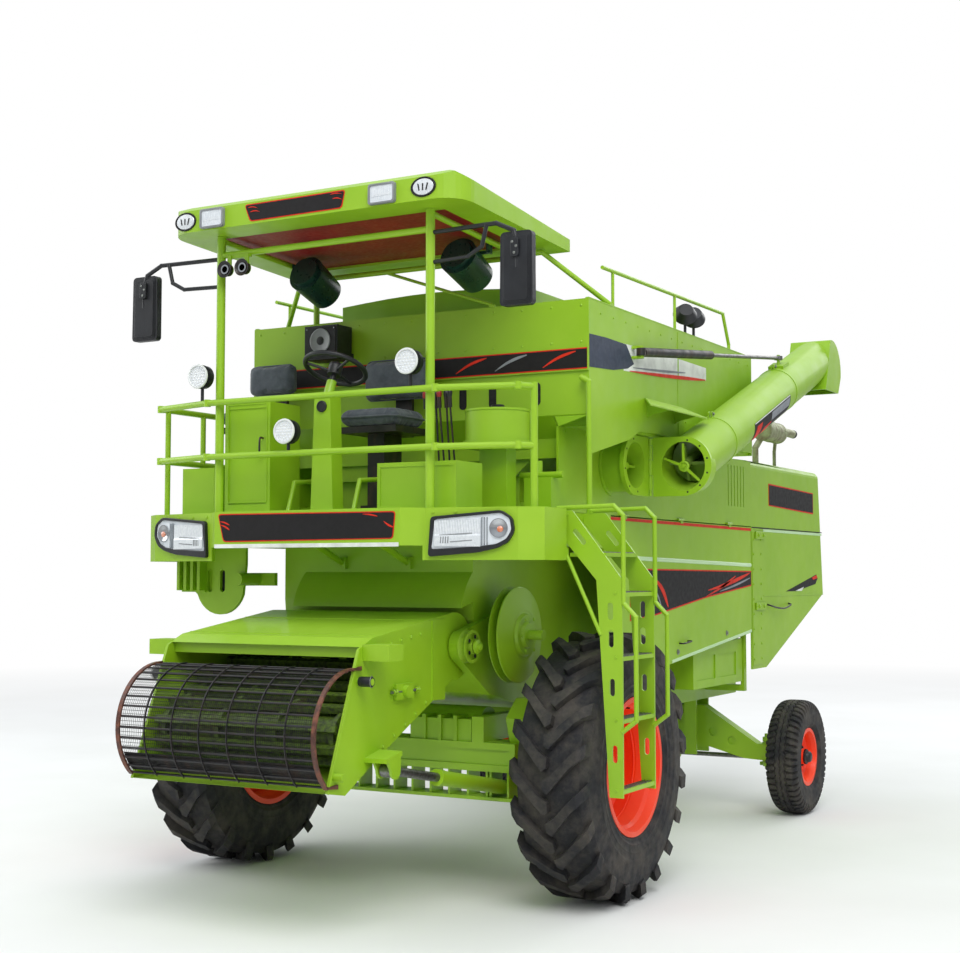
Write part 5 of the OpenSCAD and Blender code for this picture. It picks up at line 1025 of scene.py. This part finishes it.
RISE = math.radians(19.8)
TUBE = np.array([0, math.cos(RISE), math.sin(RISE)])            # Along the tube
ACROSS = np.array([0, -math.sin(RISE), math.cos(RISE)])
MOUTH = np.array([1.427, 1.002, 2.592])
STUB = np.array([1.1945, 0.770, 2.592])
HOLE = rect(TIP, 6.5, -2, 0.5)


def tube_patch(d0, d1, a0, a1, r, slant=0.0, n=(30, 10)):
    """A patch of the tube's wall between two lengths and two angles from +X, slanted along it by angle."""
    d = np.linspace(d0, d1, n[0])[:, None]
    a = np.radians(np.linspace(a0, a1, n[1]))[None, :]
    middle = MOUTH + (d + slant * (a - np.radians(a0)))[..., None] * TUBE
    spoke = np.cos(a)[..., None] * X + np.sin(a)[..., None] * ACROSS
    return shell(middle + r * spoke, middle + (r + FOIL) * spoke)


for name, ink, patch in (("", PRINT_BLACK, (1.00, 1.86, -44, 3, 0.1654)),
                         ("_red", PRINT_RED, (1.01, 1.13, -43, -8, 0.1670, 0.08)),
                         ("_red_top", PRINT_RED, (1.18, 1.34, -43, -28, 0.1670, 0.3)),
                         ("_grey", PRINT_GREY, (1.40, 1.84, -24, -3, 0.1670)),
                         ("_edge", PRINT_WHITE, (1.01, 1.85, 0.4, 2.6, 0.1670))):
    piece("tube_print" + name, tube_patch(*patch), ink, "unloader", True)
piece("tube_seam", tube_patch(0.35, 2.9, -57.6, -56.4, 0.1650, 0, (60, 3)), LIME, "unloader", True)
for i, d in enumerate((0.62, 2.05)):
    at = MOUTH + TUBE * d
    band = hoop(rect(165, 169, -20, 20), at, TUBE, 56)
    ear = rect(-0.018, 0.018, 0.166, 0.205)
    ears = [slab(ear, at + X * x, TUBE, ACROSS, -0.007) for x in (-0.010, 0.010)]
    piece("tube_band_%d" % i, together([band] + ears), LIME, "unloader", soft=0.0012)
    bolt = hex_bolts([at + ACROSS * 0.188 + X * 0.0172], X, 9, 8)
    piece("tube_band_bolt_%d" % i, bolt, ZINC, "unloader")
# Dark discs for the holes of the two flanges: their painted shade
holes = around(STUB, 0.171, np.radians(np.arange(100, 281, 45)))
piece("flange_holes", turned_at(holes, HOLE, X, 18), DARK)
holes = around(MOUTH + Y * 0.001, 0.171, np.radians(np.arange(-80, 81, 32)), X, Z)
piece("mouth_holes", turned_at(holes, HOLE, -Y, 18), DARK, "unloader")
at = MOUTH + Y * 0.022
arm = np.array([(0.020, -0.009), (0.149, -0.007), (0.149, 0.007), (0.020, 0.009)])
arms = [slab(arm, at, X * math.cos(t) + Z * math.sin(t), Z * math.cos(t) - X * math.sin(t), 0.013)
        for t in np.radians((92, 158, 318))]
hub = turned([(TIP, -4), (36, -4), (36, 12), (27, 15), (27, 9), (13, 9), (13, 17), (TIP, 18)], at, -Y, 30)
piece("mouth_spider", together(arms + [hub]), LIME, "unloader", True)


# Grain tank: rivets of its ribs, a seam and the rolled edge of each side

RIVET = [(8.5, 0), (7, 3), (3.5, 4.8), (0.4, 5.2)]
ROLLED = [(-0.015, -0.002), (0.015, -0.002), (0.015, 0.004), (0.010, 0.007), (-0.010, 0.007), (-0.015, 0.004)]
for s, side in SIDES:
    rows = [(s * TANK_SIDE, y, 3.475) for y in np.arange(0.12, 2.8, 0.19)]
    rows += [(s * TANK_SIDE, y, 2.93) for y in np.arange(1.5, 2.8, 0.19)]
    piece("tank_rivets_" + side, turned_at(rows, RIVET, s * X, 10), LIME, smooth=True)
    seam = side_sheet(s, rect(1.362, 1.378, 2.83, 3.535), TANK_SIDE + 0.0015, 0.003)
    piece("tank_seam_" + side, seam, LIME, soft=0.001)
    edge = [(s * 1.237, y, 3.5465) for y in (-0.04, 2.86)]
    piece("tank_edge_" + side, along_path(edge, ROLLED), LIME)
rows = [(x, -0.0500, z) for z in (3.285, 3.505) for x in np.arange(-1.2, 1.21, 0.2)]
piece("tank_front_rivets", turned_at(rows, RIVET, -Y, 10), LIME, smooth=True)

# Bolts of the drum pulley's hub
bolts = around((0.9265, -0.2, 1.533), 0.104, turn(6))
piece("drum_guard_bolts", hex_bolts(bolts, X, 9, 7), LIME, "drum_pulley")

# Ladder: grip bars welded on the treads and bolts on the stringers; a tread is its height, depth and end
GRIP = [(-0.004, -0.001), (0.004, -0.001), (0.0025, 0.005), (-0.0025, 0.005)]
for k, (z, depth, end) in enumerate(((0.700, 0.076, 1.698), (1.080, 0.095, 1.698), (1.420, 0.110, 1.698),
                                     (1.770, 0.130, 1.698), (1.990, 0.220, 1.600))):
    bars = [along_path([(x, y, z + 0.0225) for y in (-0.583, -0.160)], GRIP)
            for x in np.arange(end - depth + 0.016, end - 0.006, 0.020)]
    piece("tread_grip_%d" % k, together(bars), STEEL)
bolts = [(1.66, -0.6000, z) for z in (0.72, 1.10, 1.44, 1.79)] + [(x, -0.6000, 2.226) for x in (1.30, 1.37)]
piece("ladder_bolts", hex_bolts(bolts, -Y, 8, 6), LIME)


# Platform: chequer plate floor, and the fittings of the operator's station

FLOOR = 2.2498


def chequer(x0, x1, y0, y1, step=0.045):
    """Raised lozenges on the floor: each a low roof of six points, turned by 45 degrees left or right."""
    base = np.array([(-0.015, 0, 0), (0, -0.0042, 0), (0.015, 0, 0), (0, 0.0042, 0), (-0.006, 0, 0.0022),
                     (0.006, 0, 0.0022)])
    faces = [[0, 1, 5, 4], [1, 2, 5], [2, 3, 4, 5], [3, 0, 4], [3, 2, 1, 0]]
    i, j = np.meshgrid(np.arange(int((x1 - x0) / step)), np.arange(int((y1 - y0) / step)), indexing="ij")
    i, j = i.ravel(), j.ravel()
    angle = np.where((i + j) % 2, 0.785, -0.785)
    c, s = np.cos(angle)[:, None], np.sin(angle)[:, None]
    p = np.stack([base[:, 0] * c - base[:, 1] * s, base[:, 0] * s + base[:, 1] * c, base[:, 2] + 0 * c], -1)
    p += np.stack([x0 + (i + 0.5) * step, y0 + (j + 0.5) * step, np.full(len(i), FLOOR)], -1)[:, None]
    return p.reshape(-1, 3), [[q + 6 * k for q in f] for k in range(len(i)) for f in faces]


piece("floor_chequer_front", chequer(-1.14, 1.20, -1.03, -0.97), LIME)
piece("floor_chequer_middle", chequer(-0.42, -0.16, -0.95, -0.10), LIME)
piece("floor_chequer_left", chequer(0.88, 1.20, -0.95, -0.50), LIME)

# Cabinet door's edge and handle, the pedestal's gauge, the oil tank's ring and cap
outer, inner = rounded(0.300, 0.60, 0.012), rounded(0.284, 0.584, 0.008)
rim = ring_slab(outer, inner, (-0.600, -0.9502, 2.62), X, Z, 0.004)
piece("cabinet_door_rim", rim, LIME, soft=0.001)
bow = ((-0.952, 2.60), (-0.985, 2.605), (-0.985, 2.70), (-0.952, 2.705))
piece("cabinet_handle", pipe([(-0.48, y, z) for y, z in bow], 0.006), BLACK, smooth=True)
gauge = [(TIP, 0), (34, 0), (34, 10), (29, 13), (27, 8), (TIP, 8)]
piece("pedestal_gauges", turned(gauge, (-0.085, -0.9052, 2.88), -Y, 32), PLASTIC, smooth=True)
ring = [(189, -6), (194.5, -4), (194.5, 4), (189, 6)]
piece("oil_tank_rings", hoop(ring, (0.830, -0.420, 2.846), Z, 56), LIME, smooth=True)
cap = [(TIP, 0), (40, 0), (42, 6), (42, 26), (36, 32), (TIP, 34)]
piece("oil_tank_cap", turned(cap, (0.830, -0.420, 2.8548), Z, 24), PLASTIC, smooth=True)

# Knobs of the six levers, which stand in two rows
for i in range(6):
    knob = [(TIP, 0), (10, 0), (14.5, 12), (16.5, 26), (15, 40), (9, 50), (TIP, 53)]
    knob = turned(knob, (0.420 + i * 0.036, -0.566 - (i % 2) * 0.020, 2.926), Z, 20)
    piece("lever_knob_%d" % i, knob, PLASTIC if i % 3 else KNOB, smooth=True)

# Steering wheel: its boss, and 48 finger grips round its rim
COLUMN = np.array([0, 0.4067, 0.9135])
HELM = np.array([-0.085, -0.770, 3.120])
boss = [(TIP, 0), (40, 0), (43, 6), (38, 18), (20, 26), (TIP, 28)]
piece("steering_boss", turned(boss, HELM + COLUMN * 0.012, COLUMN, 32), PLASTIC, "steering_wheel", True)
grip = [(14.6 + 1.2 * math.cos(b), 3.5 * math.sin(b)) for b in (0, 1.57, 3.14, 4.71)]
flat = np.array([0, -COLUMN[2], COLUMN[1]])
spokes = around((0, 0, 0), 1, turn(48), X, flat)
grips = [hoop(grip, HELM + d * 0.185, np.cross(COLUMN, d), 10) for d in spokes]
piece("steering_grips", together(grips), PLASTIC, "steering_wheel", True)

# Exhaust: bands round the silencer, a dark rim of soot, and a dark disc in the tail's end for its soot and
# the painted shade of the pipe's inside
TAIL = (0.900, 5.000, 3.140)
for i, y in enumerate((4.16, 4.35, 4.53)):
    piece("silencer_band_%d" % i, hoop(rect(87.5, 90.5, -12, 12), (0.900, y, 3.110), Y, 44), EXHAUST)
rim = [(35.2, -34), (37.2, -32), (37.2, 0.6), (35.2, 0.8)]
piece("tail_soot_rim", hoop(rim, TAIL, Y, 32), DARK, smooth=True)
# A dark disc over the tail's opening: soot and the painted shade of the pipe's inside
piece("tail_soot_and_shade", turned(rect(TIP, 29, -4, 0.8), TAIL, Y, 28), DARK)


# Seats: covered cushions puffed up as cloth, with piping round them

INSET = 0.010       # The block starts this far inside its box
RISE_LIMIT = 0.010  # The cloth moves this far at most
FRAMES = 20


def signed_power(v, exponent):
    """|v| to a power, with the sign of v."""
    return np.sign(v) * np.abs(v) ** exponent


def cushion_block(lo, hi, u, v, thin):
    """A rounded block in its box: over latitude a and longitude b, u = cos(a)^0.42 cos(b)^0.32,
    v = cos(a)^0.42 sin(b)^0.32 and the thin way sin(a)^0.55, each with its sign kept."""
    a, b = np.meshgrid(np.linspace(-np.pi / 2, np.pi / 2, 41), np.linspace(-np.pi, np.pi, 80, endpoint=False),
                       indexing="ij")
    p = np.zeros(a.shape + (3,))
    p[..., u] = signed_power(np.cos(a), 0.42) * signed_power(np.cos(b), 0.32)
    p[..., v] = signed_power(np.cos(a), 0.42) * signed_power(np.sin(b), 0.32)
    p[..., thin] = signed_power(np.sin(a), 0.55)
    p = (lo + hi) / 2 + p * ((hi - lo) / 2 - INSET)
    n, m = p.shape[0] - 2, p.shape[1]
    base, top, last = n * m, n * m + 1, (n - 1) * m
    faces = grid_faces(n, m, False, True) + [[base, (k + 1) % m, k] for k in range(m)]
    faces += [[top, last + k, last + (k + 1) % m] for k in range(m)]
    return facing_out(np.vstack([p[1:-1].reshape(-1, 3), p[0, 0], p[-1, 0]]), faces)


def baked(o):
    """A new mesh of the object as its modifiers leave it."""
    return bpy.data.meshes.new_from_object(o.evaluated_get(bpy.context.evaluated_depsgraph_get()))


def swap_mesh(o, data):
    """Give an object its baked mesh, with no modifiers and the old mesh gone."""
    o.modifiers.clear()
    old, o.data = o.data, data
    bpy.data.meshes.remove(old)


def points_of(data):
    """A mesh's points as an array."""
    points = np.zeros(len(data.vertices) * 3)
    data.vertices.foreach_get("co", points)
    return points.reshape(-1, 3)


def blown_up(o):
    """The object's mesh after a cloth simulation with pressure inside and a slightly large cover."""
    cloth = o.modifiers.new("cover", "CLOTH").settings
    cloth.quality = 4
    cloth.mass = 0.3
    cloth.tension_stiffness = cloth.compression_stiffness = 12
    cloth.bending_stiffness = 0.6
    cloth.shrink_min = -0.05
    cloth.use_pressure = True
    cloth.uniform_pressure_force = 4.0
    cloth.effector_weights.gravity = 0.0
    scene = bpy.context.scene
    scene.frame_start, scene.frame_end = 1, FRAMES
    for k in range(1, FRAMES + 1):
        scene.frame_set(k)
    return baked(o)


def puffed(name, lo, hi):
    """A cushion: a rounded block remeshed at 7 mm and blown up, its movement capped and its faces creased.

    A crease is 3.5 mm x sin(9 u + 2.2 sin 4.1 v) x sin(7.3 v + 1.7 sin 3.3 u), fading to the panel's edges.
    Without the simulation the cushion keeps the block's shape.
    """
    lo, hi = np.array(lo, float), np.array(hi, float)
    thin = int(np.argmin(hi - lo))
    u, v = [k for k in range(3) if k != thin]
    o = piece(name, cushion_block(lo, hi, u, v, thin), SEAT, smooth=True)
    voxels = o.modifiers.new("voxels", "REMESH")
    voxels.mode, voxels.voxel_size = "VOXEL", 0.007
    swap_mesh(o, baked(o))
    rest = points_of(o.data)
    data = blown_up(o)
    step = points_of(data) - rest
    far = np.linalg.norm(step, axis=1)[:, None]
    place = rest + step * np.minimum(1, RISE_LIMIT / np.maximum(far, 1e-9))
    local = (place - AXLE - (lo + hi) / 2) / ((hi - lo) / 2)
    a, b = local[:, u], local[:, v]
    fade = np.clip(1.1 - np.maximum(np.abs(a), np.abs(b)), 0, 1)
    waves = np.sin(a * 9.0 + 2.2 * np.sin(b * 4.1)) * np.sin(b * 7.3 + 1.7 * np.sin(a * 3.3))
    place[:, thin] += 0.0035 * waves * fade * np.sign(local[:, thin])
    data.vertices.foreach_set("co", np.clip(place, lo + AXLE, hi + AXLE).ravel())
    bpy.context.scene.frame_set(1)
    swap_mesh(o, data)
    data.shade_smooth()
    fine = o.modifiers.new("fine", "SUBSURF")
    fine.levels = fine.render_levels = 1
    return o


def cushion(kind, i, lo, hi, axes):
    """A padded cushion in its box, and the piping sewn round its middle in the plane of two axes."""
    pad = puffed("seat_%s_%d" % (kind, i), lo, hi)
    lo, hi = np.array(lo), np.array(hi)
    wide, deep = ((hi - lo) @ axis - 0.024 for axis in axes)
    path = on_plane(rounded(wide, deep, 0.045), (lo + hi) / 2, *axes)
    form = along_path(path, disc(0.0055, 8), True)
    piping = piece("seat_piping_%d_%d" % (i, kind == "back"), form, SEAT, smooth=True)
    for o in (pad, piping):
        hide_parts("seat_cushions")


# Each seat: X, half width and underside of its bottom; then the same of its back, and how tall that is
SEATS = (((0.010, 0.220, 2.790), (-0.010, 0.240, 2.975, 0.275)),
         ((-0.960, 0.170, 2.830), (-0.975, 0.185, 3.060, 0.215)))
for i, (bottom, back) in enumerate(SEATS):
    x, half, z = bottom
    cushion("bottom", i, (x - half, -0.600, z), (x + half, -0.200, z + 0.110), (X, Y))
    x, half, z, tall = back
    cushion("back", i, (x - half, -0.2503, z), (x + half, -0.1503, z + tall), (X, Z))


# Studio

def camera():
    """The camera at the photo's viewpoint."""
    data = bpy.data.cameras.new("camera")
    data.lens, data.sensor_width = 57.0, 36.0
    o = bpy.data.objects.new("camera", data)
    o.location = (AXLE + [5.0867, -8.2381, 1.9009]).tolist()
    o.rotation_euler = (math.radians(93.622), 0, math.radians(29.235))
    bpy.context.scene.collection.objects.link(o)
    bpy.context.scene.camera = o


def ground():
    """A pale floor that fades to plain white between 7 and 22 m from the machine."""
    f = Finish("pale_floor")
    f.colour(f.mix(f.ramp(f.noise(0.6), 0.3, 0.7), "#E4E4E1", "#EAEAE8"))
    f.roughness(f.ramp(f.noise(4), 0.3, 0.7, 0.85, 0.95))
    squares = [f.math("POWER", f.part(f.place, k), 2.0) for k in "XY"]
    far = f.ramp(f.math("POWER", f.plus(*squares), 0.5), 7.0, 22.0)
    seen = f.add("LightPath").outputs["Is Camera Ray"]
    white = f.add("Emission", {"Strength": f.ramp(seen, 0.0, 1.0, 0.45, 1.0)})
    blend = f.add("MixShader", {0: far, 1: f.shader.outputs[0], 2: white.outputs[0]})
    f.feed(f.tree.nodes["Material Output"].inputs["Surface"], blend.outputs[0])
    size = 400.0
    data = bpy.data.meshes.new("floor")
    data.from_pydata([(x, y, 0) for x, y in rect(-size, size, -size, size)], [], [(0, 1, 2, 3)])
    data.materials.append(f.material)
    floor = bpy.data.objects.new("floor", data)
    bpy.context.scene.collection.objects.link(floor)


def lamp(name, at, size, power):
    """A round soft lamp that looks at the machine's middle."""
    data = bpy.data.lights.new(name, "AREA")
    data.shape, data.size, data.energy = "DISK", size, power
    o = bpy.data.objects.new(name, data)
    o.location = at
    aim = np.array([0, 0, 1.6]) - at
    aim = aim / np.linalg.norm(aim)
    o.rotation_euler = (math.acos(-aim[2]), 0, math.atan2(-aim[0], aim[1]))
    bpy.context.scene.collection.objects.link(o)


def sky():
    """Light from 0.35 at the horizon to 1.05 overhead, by the Z of its direction; white to the camera."""
    world = bpy.data.worlds.new("studio")
    bpy.context.scene.world = world
    world.use_nodes = True
    tree = world.node_tree
    tree.nodes.clear()
    kinds = "LightPath TexCoord SeparateXYZ MapRange Background Background MixShader OutputWorld".split()
    path, way, split, rise, lit, white, blend, out = (tree.nodes.new("ShaderNode" + k) for k in kinds)
    for key, value in (("From Min", 0.05), ("From Max", 0.75), ("To Min", 0.35), ("To Max", 1.05)):
        rise.inputs[key].default_value = value
    lit.inputs["Color"].default_value = (0.92, 0.96, 1.0, 1)
    white.inputs["Color"].default_value = (1, 1, 1, 1)
    for a, b in ((way.outputs["Generated"], split.inputs[0]), (split.outputs["Z"], rise.inputs["Value"]),
                 (rise.outputs["Result"], lit.inputs["Strength"]),
                 (path.outputs["Is Camera Ray"], blend.inputs["Fac"]), (lit.outputs[0], blend.inputs[1]),
                 (white.outputs[0], blend.inputs[2]), (blend.outputs[0], out.inputs["Surface"])):
        tree.links.new(a, b)


bpy.context.scene.view_settings.view_transform = "Standard"
camera()
ground()
lamp("key", (6, -9, 12), 9, 1080)
lamp("fill", (-11, -5, 7), 8, 420)
lamp("back", (3, 13, 9), 8, 420)
sky()
